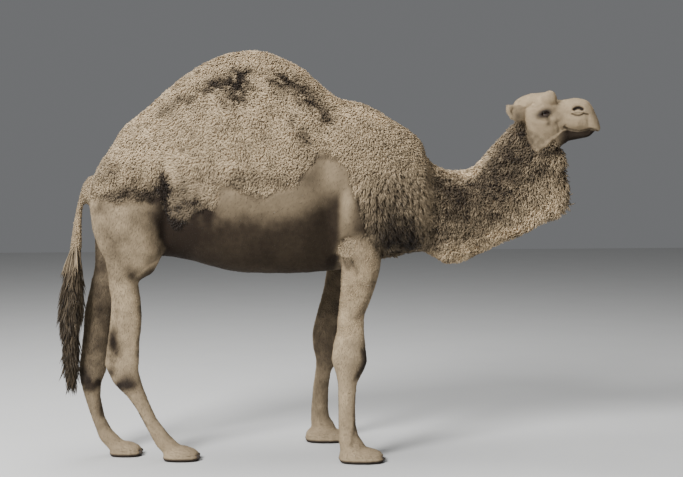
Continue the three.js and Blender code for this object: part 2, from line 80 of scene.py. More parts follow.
def straightened(points):
    """The way back from bent()."""
    x, y, z = (points + BODY_MIDDLE).T
    across, ahead = y + TURN_RADIUS, x - TURN_START
    angle = np.arctan2(ahead, across)
    end = np.array([TURN_START + TURN_RADIUS * math.sin(HEAD_TURN),
                    TURN_RADIUS * (math.cos(HEAD_TURN) - 1)])
    c, s = math.cos(HEAD_TURN), math.sin(HEAD_TURN)
    beyond = (x - end[0]) * c - (y - end[1]) * s
    aside = (x - end[0]) * s + (y - end[1]) * c
    straight_x = np.where(angle <= 0, x, np.where(
        angle < HEAD_TURN, TURN_START + TURN_RADIUS * angle, TURN_START + TURN_LENGTH + beyond))
    straight_y = np.where(angle <= 0, y, np.where(
        angle < HEAD_TURN, np.hypot(ahead, across) - TURN_RADIUS, aside))
    return np.stack([straight_x, straight_y, z], 1)


# ---- small tools for fields over many points -----------------------------------------------
def unit(vectors):
    """The vectors at length 1."""
    return vectors / np.maximum(np.linalg.norm(vectors, axis=-1, keepdims=True), 1e-12)


def smoothstep(low, high, value):
    """0 at `low`, 1 at `high` and eased between, whichever is the larger."""
    t = np.clip((value - low) / (high - low), 0, 1)
    return t * t * (3 - 2 * t)


def curve(x, points):
    """Heights of a line of (x, z) points."""
    line = np.array(points)
    return np.interp(x, line[:, 0], line[:, 1])


def blob(points, at, size):
    """1 at a place, falling off smoothly over the given half sizes."""
    return np.exp(-(((points - np.array(at)) / np.array(size)) ** 2).sum(1))


def bell(distance, width):
    """1 at no distance, falling off smoothly over the width."""
    return np.exp(-(distance / width) ** 2)


def flank(points):
    """Places with the left side folded onto the right, so that one pattern serves both."""
    return np.stack([points[:, 0], np.abs(points[:, 1]), points[:, 2]], 1)


def rounded(line):
    """A line with its corners cut twice."""
    line = np.array(line, float)
    for _ in range(2):
        cut = np.stack([0.75 * line[:-1] + 0.25 * line[1:], 0.25 * line[:-1] + 0.75 * line[1:]], 1)
        line = np.concatenate([line[:1], cut.reshape(-1, 2)[1:-1], line[-1:]])
    return line


def line_distance(points, line):
    """Distance in side view from a line of (x, z) points."""
    spot = points[:, [0, 2]]
    nearest = np.full(len(points), 1e9)
    for start, end in zip(np.array(line[:-1]), np.array(line[1:])):
        way = end - start
        share = np.clip(((spot - start) @ way) / (way @ way), 0, 1)
        nearest = np.minimum(nearest, np.linalg.norm(spot - start - share[:, None] * way, axis=1))
    return nearest


def beside(points, line, width):
    """1 on a line of (x, z) points in side view, falling off smoothly over the width."""
    return bell(line_distance(points, line), width)


def scrambled(mixed, seed):
    """Steady pseudo-random numbers from 0 to 1 out of whole numbers."""
    mixed = (mixed ^ (seed * 2654435761)) & 0xFFFFFFFF
    for _ in range(2):
        mixed = ((mixed ^ (mixed >> 16)) * 0x45D9F3B) & 0xFFFFFFFF
    return (mixed ^ (mixed >> 16)) / 0xFFFFFFFF


PRIMES = np.array([73856093, 19349663, 83492791])


def lattice(cells, seed):
    """A steady pseudo-random number for each whole-numbered cell."""
    return scrambled(np.bitwise_xor.reduce(cells * PRIMES, axis=-1), seed)


def noise(points, size, seed=0):
    """Smooth noise from -1 to 1 with features of about the given size."""
    scaled = points / size
    cell = np.floor(scaled).astype(np.int64)
    part = scaled - cell
    part = part * part * (3 - 2 * part)
    near, far = (cell * PRIMES).T, ((cell + 1) * PRIMES).T
    total = 0
    for corner in np.ndindex(2, 2, 2):
        weights = [part[:, k] if up else 1 - part[:, k] for k, up in enumerate(corner)]
        hashed = [(far if up else near)[k] for k, up in enumerate(corner)]
        total = total + weights[0] * weights[1] * weights[2] \
            * scrambled(hashed[0] ^ hashed[1] ^ hashed[2], seed)
    return 2 * total - 1


def layered(points, layers):
    """Noise in layers of (strength, size of its features, seed)."""
    return sum(strength * noise(points, size, seed) for strength, size, seed in layers)


# ---- the skin's base ------------------------------------------------------------------------
GROUPS = ("trunk", "neck", "head", "ear", "arm", "thigh", "shank", "foot", "dock", "tuft")
VOXEL = 0.0092                # side of the first even mesh's squares
OVERLAP = 0.0007              # growth of each solid before they are joined


def group_of(node):
    """Which group of the body a node belongs to."""
    for ending, group in (("forearm", "arm"), ("thigh", "thigh"), ("foot", "foot"),
                          ("tail_dock", "dock"), ("tail_tuft", "tuft")):
        if node.endswith(ending):
            return group
    for start, group in (("neck", "neck"), ("head", "head"), ("lower_jaw", "head"), ("ear", "ear"),
                         ("eye", "head"), ("foreleg", "shank"), ("hindleg", "shank")):
        if node.startswith(start):
            return group
    return "trunk"


NAILS = sorted(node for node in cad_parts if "_nail_" in node)
EYES = sorted(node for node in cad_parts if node.startswith("eye_"))
FLESH = sorted(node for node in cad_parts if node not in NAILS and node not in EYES)


def of(weights, *groups):
    """How much each place belongs to these groups together."""
    return weights[:, [GROUPS.index(group) for group in groups]].sum(1)


def blended(weights, values):
    """Values given per group, mixed as each place belongs to them."""
    return sum(of(weights, group) * value for group, value in values.items())


def merged_solids(nodes, grow):
    """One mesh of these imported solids, each grown a little so that neighbours overlap, with the
    group of each face."""
    points, faces, groups, count = [], [], [], 0
    for node in nodes:
        bm = bmesh.new()
        bm.from_mesh(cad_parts[node].data)
        bmesh.ops.remove_doubles(bm, verts=bm.verts, dist=2e-5)
        bm.normal_update()
        bm.verts.index_update()
        points += [v.co + v.normal * grow for v in bm.verts]
        faces += [[v.index + count for v in face.verts] for face in bm.faces]
        groups += [GROUPS.index(group_of(node))] * len(bm.faces)
        count += len(bm.verts)
        bm.free()
    return points, faces, np.array(groups)


def applied(obj):
    """The object's mesh with its modifiers made real."""
    graph = bpy.context.evaluated_depsgraph_get()
    mesh = bpy.data.meshes.new_from_object(obj.evaluated_get(graph), depsgraph=graph)
    old = obj.data
    obj.modifiers.clear()
    obj.data = mesh
    bpy.data.meshes.remove(old)
    return mesh


def fetched(items, field, width, kind):
    """One field of all the items, `width` numbers to a row."""
    found = np.empty(len(items) * width, kind)
    items.foreach_get(field, found)
    return found.reshape(-1, width)


def get_points(mesh):
    return fetched(mesh.vertices, "co", 3, np.float32).astype(float)


def set_points(mesh, points):
    mesh.vertices.foreach_set("co", points.astype(np.float32).ravel())
    mesh.update()


def get_normals(mesh):
    return fetched(mesh.vertex_normals, "vector", 3, np.float32).astype(float)


def get_edges(mesh):
    return fetched(mesh.edges, "vertices", 2, np.int32)


def relaxed(values, edges, weight, rounds, rate=0.5):
    """Values drawn towards the mean of their neighbours, each as far as its weight says."""
    count = len(values)
    degree = np.maximum(np.bincount(edges.ravel(), minlength=count), 1)[:, None]
    start, end = edges.T
    values = values.copy()
    for _ in range(rounds):
        total = np.stack([np.bincount(start, column[end], count)
                          + np.bincount(end, column[start], count) for column in values.T], 1)
        values += rate * weight[:, None] * (total / degree - values)
    return values


def refine(mesh, chosen):
    """Cuts the faces whose middle is in the chosen part into quarters."""
    bm = bmesh.new()
    bm.from_mesh(mesh)
    picked = chosen(np.array([face.calc_center_median() for face in bm.faces]))
    edges = {edge for face, take in zip(bm.faces, picked) if take for edge in face.edges}
    bmesh.ops.subdivide_edges(bm, edges=list(edges), cuts=1, use_grid_fill=True)
    bm.to_mesh(mesh)
    bm.free()


# ---- the pattern of the coat ----------------------------------------------------------------
# Lower edge of the long wool on the side, x, z: over the thigh, behind the flank fold, over the
# smooth hollow below the ribs, then down the rear edge of the shoulder's cape.
WOOL_EDGE = [
    (-1.30, 1.345), (-1.20, 1.33), (-1.12, 1.325), (-1.07, 1.300), (-0.99, 1.325), (-0.915, 1.325),
    (-0.87, 1.345), (-0.85, 1.27), (-0.81, 1.215), (-0.76, 1.20), (-0.72, 1.235), (-0.67, 1.28),
    (-0.60, 1.30), (-0.565, 1.395), (-0.50, 1.405), (-0.43, 1.36), (-0.39, 1.345), (-0.34, 1.357),
    (-0.274, 1.405), (-0.20, 1.415), (-0.165, 1.46), (-0.13, 1.505), (-0.10, 1.545),
    (-0.057, 1.553), (-0.024, 1.540), (0.011, 1.535), (0.058, 1.515), (0.075, 1.44),
    (0.095, 1.37), (0.125, 1.30), (0.150, 1.22), (0.165, 1.15), (0.18, 1.08), (0.30, 1.03),
    (0.52, 1.00),
]
WOOL_FADE = (-0.026, 0.028)   # heights about that edge where the wool starts and is full
WOOL_RAGGED = ((0.024, 0.06, 3), (0.013, 0.022, 4))
ELBOW_TUFT = ((0.068, 0.25, 1.085), (0.050, 0.12, 0.070))
# Rear edge of the jaw, z and x, and its lower edge, x and z.
JAW_REAR = [(1.565, 1.092), (1.588, 1.063), (1.643, 1.036), (1.734, 1.010), (1.80, 0.995)]
JAW_LOWER = [(1.06, 1.572), (1.084, 1.570), (1.118, 1.588), (1.139, 1.602), (1.183, 1.646),
             (1.22, 1.672), (1.25, 1.66)]


def face_mask(places):
    """1 on the face, whose short hair ends at the edges of the jaw."""
    x, z = places[:, 0], places[:, 2]
    frayed = 0.003 * noise(places, 0.012, 6)
    return smoothstep(-0.004, 0.006, x - curve(z, JAW_REAR) + frayed) \
        * smoothstep(-0.004, 0.006, z - curve(x, JAW_LOWER) + frayed)


def woolliness(places, weights):
    """0 where the hair is short and flat, 1 where it is long wool. The edge between them is
    ragged and 5 cm deep."""
    folded = flank(places)
    ragged = layered(folded, WOOL_RAGGED)
    above = places[:, 2] - curve(places[:, 0], WOOL_EDGE) + ragged
    side = np.maximum(smoothstep(*WOOL_FADE, above),
                      smoothstep(0.35, 0.55, blob(folded, *ELBOW_TUFT) + 8 * ragged))
    forearm = 0.45 + 0.35 * noise(places, 0.045, 5)
    by_group = {"trunk": side, "thigh": side, "neck": 1 - face_mask(places),
                "arm": np.maximum(side, forearm), "dock": 0.7, "tuft": 1.0}
    return blended(weights, by_group)


# From the skin to the tips of long wool on each group, and the most that short hair takes up.
FULL_DEPTH = {"trunk": 0.0165, "neck": 0.0155, "head": 0.0012, "ear": 0.001, "arm": 0.010,
              "thigh": 0.014, "shank": 0.0022, "foot": 0.001, "dock": 0.010, "tuft": 0.008}
SHORT_DEPTH = 0.0035
THROAT_EXTRA, CAPE_EXTRA = 0.014, 0.008


def coat_depth(places, weights, wool):
    """From the skin to the tips of the coat, in metres."""
    long = blended(weights, FULL_DEPTH)
    throat = blob(places, (1.21, 0, 1.38), (0.10, 0.12, 0.20))
    cape = blob(flank(places), (0.40, 0.15, 1.30), (0.16, 0.16, 0.35))
    long = long + THROAT_EXTRA * throat + CAPE_EXTRA * cape * of(weights, "trunk")
    short = np.minimum(long, SHORT_DEPTH)
    return short + (long - short) * wool


# Patches darker (below 0) and paler (above 0) than the rest: place on the folded side, half sizes,
# strength. Some are markings and some are painted light and shade, as noted.
PATCHES_AND_PAINTED_LIGHT = (
    # The first three: paler tops of hump, rump and withers, pale wool together with painted light
    # from above.
    ((-0.44, 0.0, 2.08), (0.50, 0.25, 0.10), 0.07),
    ((-1.00, 0.0, 1.78), (0.26, 0.25, 0.20), 0.08),
    ((0.25, 0.0, 1.80), (0.30, 0.25, 0.12), 0.12),
    ((-0.42, 0.3, 1.44), (0.28, 0.3, 0.045), -0.22),
    ((-0.14, 0.3, 1.56), (0.06, 0.3, 0.10), -0.18),
    ((-1.10, 0.2, 1.47), (0.16, 0.3, 0.06), -0.12),
    # The next four: painted shade on the flank where it turns under, and in the fold before the
    # thigh.
    ((-0.76, 0.3, 1.27), (0.14, 0.3, 0.14), -0.48),
    ((-0.800, 0.3, 1.15), (0.030, 0.3, 0.10), -0.22),
    ((-0.64, 0.3, 1.265), (0.05, 0.3, 0.035), -0.35),
    ((-0.80, 0.3, 1.10), (0.07, 0.3, 0.11), -0.70),
    ((-1.16, 0.2, 1.30), (0.035, 0.3, 0.05), -0.25),
    # The next three: painted shade on the lower cape and the chest, darker downwards.
    ((0.26, 0.2, 1.40), (0.18, 0.3, 0.09), -0.26),
    ((0.29, 0.2, 1.21), (0.20, 0.3, 0.13), -0.52),
    ((0.35, 0.2, 1.10), (0.15, 0.3, 0.08), -0.50),
    # The next three: painted highlights on the lit rear and front edges of the shoulder and on the
    # bump under the wool.
    ((0.060, 0.3, 1.29), (0.034, 0.3, 0.12), 0.34),
    ((0.425, 0.2, 1.30), (0.025, 0.3, 0.12), 0.12),
    ((-0.525, 0.3, 1.355), (0.045, 0.3, 0.022), 0.03),
    ((-0.03, 0.3, 1.46), (0.05, 0.3, 0.07), 0.18),
    ((0.015, 0.25, 1.075), (0.022, 0.3, 0.030), 0.15),
    # Painted shade under the elbow.
    ((0.060, 0.25, 1.02), (0.05, 0.3, 0.030), -0.20),
    # The next two: painted shade in the hollow before the near heel and under the hock.
    ((-1.110, 0.2, 0.605), (0.028, 0.3, 0.075), -0.80),
    ((-1.130, 0.2, 0.462), (0.022, 0.3, 0.020), -0.40),
    ((-1.045, 0.2, 0.402), (0.050, 0.3, 0.028), -0.50),
    # The next two: painted shade round the stifle, where the thigh turns under.
    ((-1.01, 0.25, 0.965), (0.035, 0.3, 0.035), -0.42),
    ((-0.925, 0.2, 0.925), (0.050, 0.3, 0.050), -0.80),
    ((-1.10, 0.25, 1.10), (0.06, 0.3, 0.09), -0.14),
    ((-0.90, 0.25, 1.26), (0.045, 0.3, 0.06), -0.16),
    # Partly the ear's darker inside, partly painted shade under the ear.
    ((0.985, 0.12, 1.762), (0.022, 0.05, 0.030), -0.34),
    ((1.06, 0.10, 1.60), (0.04, 0.05, 0.03), -0.10),
    ((1.225, 0.0, 1.530), (0.05, 0.3, 0.040), 0.26),
    # Painted shade in the hollow between the jaw and the throat.
    ((1.245, 0.0, 1.472), (0.045, 0.3, 0.032), -0.30),
    ((1.16, 0.0, 1.40), (0.05, 0.3, 0.06), 0.12),
)
# Frayed dark (below 0) and pale streaks: line in side view, half width, strength. Some are markings
# and some are painted light and shade, as noted.
STREAKS_AND_PAINTED_LIGHT = (
    ([(-1.09, 1.355), (-1.00, 1.365), (-0.92, 1.372), (-0.87, 1.385)], 0.046, -0.46),
    # Painted shade in the fold before the thigh.
    ([(-0.846, 1.46), (-0.842, 1.36), (-0.834, 1.28), (-0.815, 1.18)], 0.019, -0.90),
    # Painted highlight on the lit ridge over the stifle.
    ([(-0.971, 0.966), (-0.922, 1.001), (-0.882, 1.025)], 0.009, 0.24),
    ([(-1.090, 0.39), (-1.044, 0.32), (-0.995, 0.235), (-0.970, 0.18)], 0.014, -0.45),
    ([(-0.965, 0.80), (-0.960, 0.70), (-0.975, 0.60), (-0.99, 0.55)], 0.014, -0.35),
    ([(-1.215, 0.90), (-1.19, 0.78), (-1.178, 0.65), (-1.205, 0.57)], 0.030, -0.10),
    ([(-1.275, 0.385), (-1.24, 0.355), (-1.20, 0.385)], 0.020, -0.45),
    ([(-1.185, 0.32), (-1.180, 0.23), (-1.15, 0.17)], 0.018, -0.35),
    # Painted shade down the front edge of the forearm, turned from the light.
    ([(0.20, 0.96), (0.182, 0.89), (0.160, 0.82), (0.135, 0.76), (0.10, 0.73)], 0.020, -0.22),
    # Painted shade under the elbow.
    ([(-0.01, 1.022), (0.032, 1.038), (0.072, 1.000), (0.10, 0.965)], 0.018, -0.36),
    # Partly painted shade on the front of the knee, partly its dark callus.
    ([(0.145, 0.575), (0.148, 0.507), (0.118, 0.44)], 0.016, -0.45),
    ([(0.092, 0.32), (0.104, 0.21), (0.092, 0.11)], 0.010, -0.28),
    # Painted shade along the lower edge of the jaw.
    ([(1.12, 1.568), (1.20, 1.576), (1.28, 1.600)], 0.014, -0.32),
    # Painted shade under the edge of the wool.
    ([(-0.52, 1.425), (-0.44, 1.385), (-0.39, 1.362)], 0.012, -0.25),
)
# Upper edge of the belly's painted shade on each side.
BELLY_SHADE_EDGE = [(-0.85, 1.22), (-0.77, 1.20), (-0.672, 1.18), (-0.574, 1.21), (-0.476, 1.235),
              (-0.378, 1.21), (-0.279, 1.212), (-0.179, 1.227), (-0.08, 1.275), (-0.005, 1.333),
              (0.05, 1.38)]
# Ragged partings of the wool: line in side view, half width, how dark and how deep.
PARTINGS = (
    ([(-0.86, 1.76), (-0.76, 1.83), (-0.68, 1.86), (-0.60, 1.90)], 0.026, 0.34, 0.003),
    ([(-0.60, 1.905), (-0.53, 1.925), (-0.47, 1.93)], 0.044, 0.46, 0.004),
    ([(-0.470, 1.94), (-0.465, 1.89), (-0.475, 1.845), (-0.50, 1.82)], 0.052, 0.56, 0.005),
    ([(-0.46, 1.955), (-0.34, 1.955), (-0.24, 1.93)], 0.020, 0.22, 0.003),
    ([(-0.25, 1.925), (-0.16, 1.893), (-0.11, 1.836), (-0.075, 1.786), (-0.03, 1.735)],
     0.052, 0.54, 0.005),
    ([(-0.20, 1.72), (-0.15, 1.66), (-0.12, 1.60)], 0.028, 0.26, 0.003),
)
# Bands along the neck: line in side view, half width, strength, and whether it is frayed.
NECK_SIDE = [(0.53, 1.38), (0.66, 1.33), (0.78, 1.33), (0.90, 1.47), (0.99, 1.60), (1.02, 1.68)]
NECK_LOWER = [(0.56, 1.04), (0.66, 1.04), (0.78, 1.08), (0.92, 1.15), (1.05, 1.21), (1.16, 1.31)]
NECK_UPPER = [(0.48, 1.52), (0.60, 1.46), (0.74, 1.46), (0.84, 1.58), (0.92, 1.72), (0.96, 1.80)]
NECK_BANDS = ((NECK_SIDE, 0.115, -0.25, False), (NECK_LOWER, 0.055, 0.46, True),
              (NECK_UPPER, 0.034, 0.42, True))
FORE_FROM = -0.5              # the forelegs stand in front of this x
# The middle of each leg from its foot up: height and place across.
LEG_MIDDLES = {
    (1, -1): [(0.0, -0.225), (0.19, -0.221), (0.66, -0.198), (1.15, -0.172)],
    (1, 1): [(0.0, 0.255), (0.19, 0.250), (0.66, 0.214), (1.06, 0.174)],
    (-1, -1): [(0.0, -0.102), (0.2, -0.102), (0.5, -0.105), (1.0, -0.124), (1.33, -0.139)],
    (-1, 1): [(0.0, 0.030), (0.195, 0.040), (0.445, 0.059), (0.95, 0.112), (1.33, 0.139)],
}
# The line that the lower jaw's painted shade lies under.
JAW_SHADE = [(1.00, 1.50), (1.10, 1.592), (1.14, 1.610), (1.183, 1.650), (1.215, 1.682),
             (1.240, 1.687), (1.260, 1.682), (1.291, 1.677), (1.325, 1.682), (1.352, 1.689),
             (1.372, 1.683), (1.42, 1.672)]
# Bare dark pads: the knees, the hocks, the elbows and the breast, in straight places.
PADS = (
    ((0.150, -0.207, 0.50), (0.035, 0.07, 0.075)),
    ((0.065, 0.227, 0.50), (0.035, 0.07, 0.075)),
    ((-1.050, -0.104, 0.415), (0.042, 0.06, 0.050)),
    ((-1.272, 0.056, 0.425), (0.042, 0.06, 0.050)),
    ((0.13, 0.0, 0.975), (0.10, 0.09, 0.045)),
)
# How pale wool and short hair are on each part of the body, 0 to 1.
TONES = {"trunk": (0.81, 0.53), "neck": (0.60, 0.72), "head": (0.74, 0.74), "ear": (0.70, 0.70),
         "arm": (0.86, 0.84), "thigh": (0.78, 0.65), "shank": (0.75, 0.71), "foot": (0.75, 0.73),
         "dock": (0.82, 0.70), "tuft": (0.32, 0.30)}


# How much each marking darkens (below 0) or lightens (above 0) the hair at its strongest. The
# belly, the line under the wool's edge, the underside of the neck, the inner sides of the legs, the
# gaps in the wool and the lower jaw are painted shade.
MARKS = {"belly": -0.36, "woolly belly shade": -0.30, "shade under wool edge": -0.17, "neck curls": 0.15,
         "shade under neck": -0.22, "shade inside foreleg": -0.46, "shade inside hind leg": -0.34, "thigh": 0.07,
         "gaps": -0.30, "lower jaw": -0.68, "tear line": -0.26}
# Layers of mottling, and of the fraying of edges in metres.
FRAYING = ((0.016, 0.045, 15), (0.007, 0.014, 18))
CURL_MOTTLE = ((1, 0.028, 20), (0.8, 0.014, 22))
LEG_MOTTLE = ((0.07, 0.04, 16), (0.05, 0.10, 17), (0.05, 0.012, 24))
GAP_SHAPE = np.array([0.55, 0.7, 1.3])     # small dark gaps in the wool, longer than high


def shaded_inner_sides(places):
    """1 on the side of each leg that faces its fellow, which takes painted shade from the body."""
    inner = np.zeros(len(places))
    for (end, side), middle in LEG_MIDDLES.items():
        between = -0.035 * (end < 0)
        own = (places[:, 0] > FORE_FROM) == (end > 0)
        own &= (places[:, 1] > between) == (side > 0)
        aside = (curve(places[:, 2], middle) - places[:, 1]) * side
        inner = np.where(own, smoothstep(-0.02, 0.03, aside), inner)
    return inner


def shade_of(places, weights, wool):
    """How pale the coat is, 0 to 1, with its painted light and shade."""
    folded = flank(places)
    x, z = places[:, 0], places[:, 2]
    part = {group: of(weights, group) for group in GROUPS}
    shade = blended(weights, {group: long * wool + short * (1 - wool)
                              for group, (long, short) in TONES.items()})
    ragged = 0.85 + 0.45 * noise(folded, 0.035, 11)
    frayed = folded + layered(folded, FRAYING)[:, None]
    # Painted shade: the smooth flanks darken into the belly's underside.
    flat = part["trunk"] * (1 - wool)
    below = curve(x, BELLY_SHADE_EDGE) - frayed[:, 2]
    shade += part["trunk"] * (MARKS["belly"] + MARKS["woolly belly shade"] * wool) \
        * smoothstep(-0.085, 0.050, below) * smoothstep(0.035, 0.000, x)
    # Painted shade: a dark line under the overhanging edge of the wool.
    edge = z - curve(x, WOOL_EDGE)
    shade += MARKS["shade under wool edge"] * flat * ragged * bell(edge + 0.006, 0.012)
    for at, size, strength in PATCHES_AND_PAINTED_LIGHT:
        shade += strength * blob(folded, at, size) * ragged
    for line, width, strength in STREAKS_AND_PAINTED_LIGHT:
        shade += strength * beside(frayed, line, width) * ragged
    broken = smoothstep(-0.95, 0.25, noise(folded, 0.026, 19))
    for line, width, dark, _ in PARTINGS:
        shade -= dark * wool * beside(frayed, line, width) * broken
    # The neck: dark sides between pale edges, mottled curls, and painted shade below.
    neck = part["neck"]
    for line, width, strength, rough in NECK_BANDS:
        shade += strength * neck * beside(frayed if rough else places, line, width)
    shade += MARKS["neck curls"] * neck * layered(places, CURL_MOTTLE)
    shade += MARKS["shade under neck"] * neck * smoothstep(-0.05, -0.09, z - curve(x, NECK_LOWER))
    # The legs: painted shade on the inner sides, fading towards the feet, and mottling.
    legs = part["shank"] + part["thigh"] + part["arm"] + 0.5 * part["foot"]
    inner = np.where(x > FORE_FROM, MARKS["shade inside foreleg"], MARKS["shade inside hind leg"])
    shade += inner * shaded_inner_sides(places) * legs * smoothstep(-0.15, 0.75, z)
    shade += legs * layered(places, LEG_MOTTLE)
    shade += MARKS["thigh"] * part["thigh"] * noise(places, 0.055, 25)
    # Painted shade in the small gaps and pits between the wool's locks.
    gaps = noise(places * GAP_SHAPE, 0.0125, 12)
    shade += MARKS["gaps"] * wool * smoothstep(0.45, 0.80, gaps)
    shade += wool * 0.06 * noise(places, 0.05, 13) + 0.04 * noise(places, 0.12, 14)
    # The lower jaw in its own shade, and the tear line.
    jaw = part["head"] * smoothstep(0.001, -0.006, z - curve(x, JAW_SHADE))
    shade += MARKS["lower jaw"] * jaw * smoothstep(1.15, 1.25, x)
    tear = beside(places, HEAD_LINES["tear line"][0], 0.010)
    shade += MARKS["tear line"] * tear * part["head"]
    return np.clip(shade, 0, 1)


def bareness(places):
    """1 on the bare pads of the joints and round the nostrils, eyes and lips. Round the nostrils
    and eyes it reaches past the bare skin as painted shade in the nostrils and under the brow.
    """
    worn = sum(blob(places, at, size) for at, size in PADS)
    nostril = np.exp(-(line_distance(places, HEAD_LINES["nostril"][0]) / 0.0095) ** 4) \
        + 0.7 * beside(places, HEAD_LINES["nostril floor"][0], 0.0045)
    along, across, out = eye_frame(places)
    # The patch reaches well past the lids: painted shade under the brow.
    oval = ((along + 0.003) / 0.047) ** 2 + ((across - 0.001) / 0.026) ** 2
    lids = np.exp(-oval ** 2) * (out > -0.03)
    lips = beside(places, HEAD_LINES["mouth"][0], 0.006)
    lips *= places[:, 0] < 1.40
    return np.clip(np.clip(1.25 * worn, 0, 1) + nostril + lids + 0.7 * lips, 0, 1)


# ---- the skin's folds and forms -------------------------------------------------------------
# Creases (depth above 0) and ridges (below 0) of the head: line in side view, width, depth and
# the least the surface has to face sideways. Metres.
HEAD_LINES = {
    "mouth": ([(1.224, 1.700), (1.240, 1.690), (1.260, 1.684), (1.291, 1.679), (1.325, 1.684),
               (1.352, 1.692), (1.370, 1.687), (1.395, 1.680)], 0.0045, 0.010, 0.10),
    "mouth corner": ([(1.230, 1.706), (1.219, 1.690)], 0.006, 0.004, 0.3),
    "nostril": ([(1.273, 1.790), (1.285, 1.797), (1.299, 1.798), (1.313, 1.790)],
                0.0080, 0.016, 0.15),
    "nostril wing": ([(1.268, 1.774), (1.290, 1.779), (1.314, 1.775)], 0.006, -0.0055, 0.2),
    "nostril floor": ([(1.262, 1.766), (1.282, 1.758), (1.303, 1.757), (1.321, 1.768),
                       (1.344, 1.763)], 0.0042, 0.0075, 0.15),
    "lip groove": ([(1.340, 1.757), (1.345, 1.730), (1.346, 1.708)], 0.0100, 0.0038, 0.1),
    "temple": ([(1.062, 1.824), (1.038, 1.806), (1.012, 1.788)], 0.006, 0.0048, 0.2),
    "brow fold": ([(1.088, 1.800), (1.112, 1.815), (1.140, 1.818), (1.163, 1.806)],
                  0.0055, 0.0014, 0.2),
    "tear line": ([(1.140, 1.748), (1.148, 1.732), (1.147, 1.716)], 0.0085, 0.0030, 0.2),
    "under eye": ([(1.090, 1.742), (1.112, 1.730), (1.140, 1.729)], 0.0045, 0.0026, 0.2),
    "cheek bone": ([(1.175, 1.742), (1.130, 1.716), (1.070, 1.722)], 0.014, -0.0045, 0.2),
    "face crest": ([(1.20, 1.745), (1.17, 1.725)], 0.012, -0.003, 0.2),
    "cheek fold": ([(1.186, 1.722), (1.198, 1.700), (1.196, 1.676)], 0.006, 0.0030, 0.2),
    "second fold": ([(1.170, 1.700), (1.178, 1.682)], 0.005, 0.0018, 0.2),
    "jaw rear": ([(1.006, 1.745), (1.024, 1.690), (1.044, 1.635), (1.072, 1.585)],
                 0.013, 0.0080, 0.1),
    "jaw edge": ([(1.098, 1.596), (1.139, 1.614), (1.183, 1.652), (1.220, 1.676)],
                 0.009, -0.0030, 0.15),
    "nose ridge": ([(1.205, 1.800), (1.245, 1.806)], 0.013, 0.0030, 0.1),
    "bridge side": ([(1.185, 1.790), (1.225, 1.775), (1.252, 1.768)], 0.014, 0.0050, 0.3),
}
# Swellings of the head on both sides: place, half sizes, height.
HEAD_FORMS = (
    ((1.075, 0.085, 1.672), (0.045, 0.06, 0.055), 0.0055),
    ((1.045, 0.085, 1.800), (0.030, 0.05, 0.026), -0.0055),
    ((1.300, 0.060, 1.725), (0.045, 0.05, 0.030), 0.0045),
    ((1.330, 0.045, 1.652), (0.030, 0.05, 0.014), 0.0040),
    ((1.140, 0.060, 1.838), (0.026, 0.05, 0.018), 0.0030),
    ((1.215, 0.060, 1.745), (0.030, 0.05, 0.030), -0.0040),
    ((1.158, 0.010, 1.880), (0.018, 0.06, 0.018), 0.0120),
    ((1.115, 0.020, 1.870), (0.036, 0.07, 0.024), 0.0035),
    ((1.150, 0.000, 1.864), (0.030, 0.026, 0.028), 0.0080),
    ((1.166, 0.000, 1.889), (0.012, 0.060, 0.012), 0.0065),
    ((1.300, 0.000, 1.815), (0.070, 0.09, 0.030), 0.0050),
    ((1.385, 0.000, 1.725), (0.030, 0.06, 0.050), 0.0055),
    ((1.392, 0.000, 1.690), (0.018, 0.05, 0.016), 0.0045),
)
EYE_AT, EYE_RADIUS = np.array([1.126, 0.074, 1.768]), 0.0225
# The slit between the lids: its slant, half length and half height.
EYE_TILT, EYE_LONG, EYE_HIGH = math.radians(20), 0.0235, 0.0125
LID_THICKNESS, LID_SHAPE, UPPER_LID, LOWER_LID = 0.0030, 2.2, 1.05, 0.85


def eye_frame(places):
    """Places about the near eye: along its slit, up across it, and out of the head."""
    away = flank(places) - EYE_AT
    along = away[:, 0] * math.cos(EYE_TILT) + away[:, 2] * math.sin(EYE_TILT)
    across = away[:, 2] * math.cos(EYE_TILT) - away[:, 0] * math.sin(EYE_TILT)
    return along, across, away[:, 1]


def opened_lids(places):
    """Lids laid over the eyeball, with an almond slit between them."""
    along, across, out = eye_frame(places)
    distance = np.sqrt(along ** 2 + across ** 2 + out ** 2)
    share = np.clip(np.abs(along) / EYE_LONG, 0, 1)
    high = EYE_HIGH * (1 - share ** LID_SHAPE)
    upper, lower = high * UPPER_LID, high * LOWER_LID
    slit = np.where(across > 0, across - upper, -across - lower)
    opening = smoothstep(0.0008, -0.0008, slit) * (np.abs(along) < EYE_LONG)
    near = (distance < EYE_RADIUS * 2.1) & (out > 0)
    rim = 0.0016 * bell(slit - 0.0022, 0.0024)
    lid = EYE_RADIUS + LID_THICKNESS + rim
    lidded = np.where(distance < lid, lid, distance)
    # Past the ball the lids run out into the face.
    target = lidded + (EYE_RADIUS - 0.006 - lidded) * opening
    scale = np.where(near, target / np.maximum(distance, 1e-6), 1)
    side = np.sign(places[:, 1])
    centre = np.stack([np.full(len(places), EYE_AT[0]), EYE_AT[1] * side,
                       np.full(len(places), EYE_AT[2])], 1)
    return centre + (places - centre) * scale[:, None]


def pushed(places, normals, heights):
    """Places moved out along their normals."""
    return places + normals * heights[:, None]


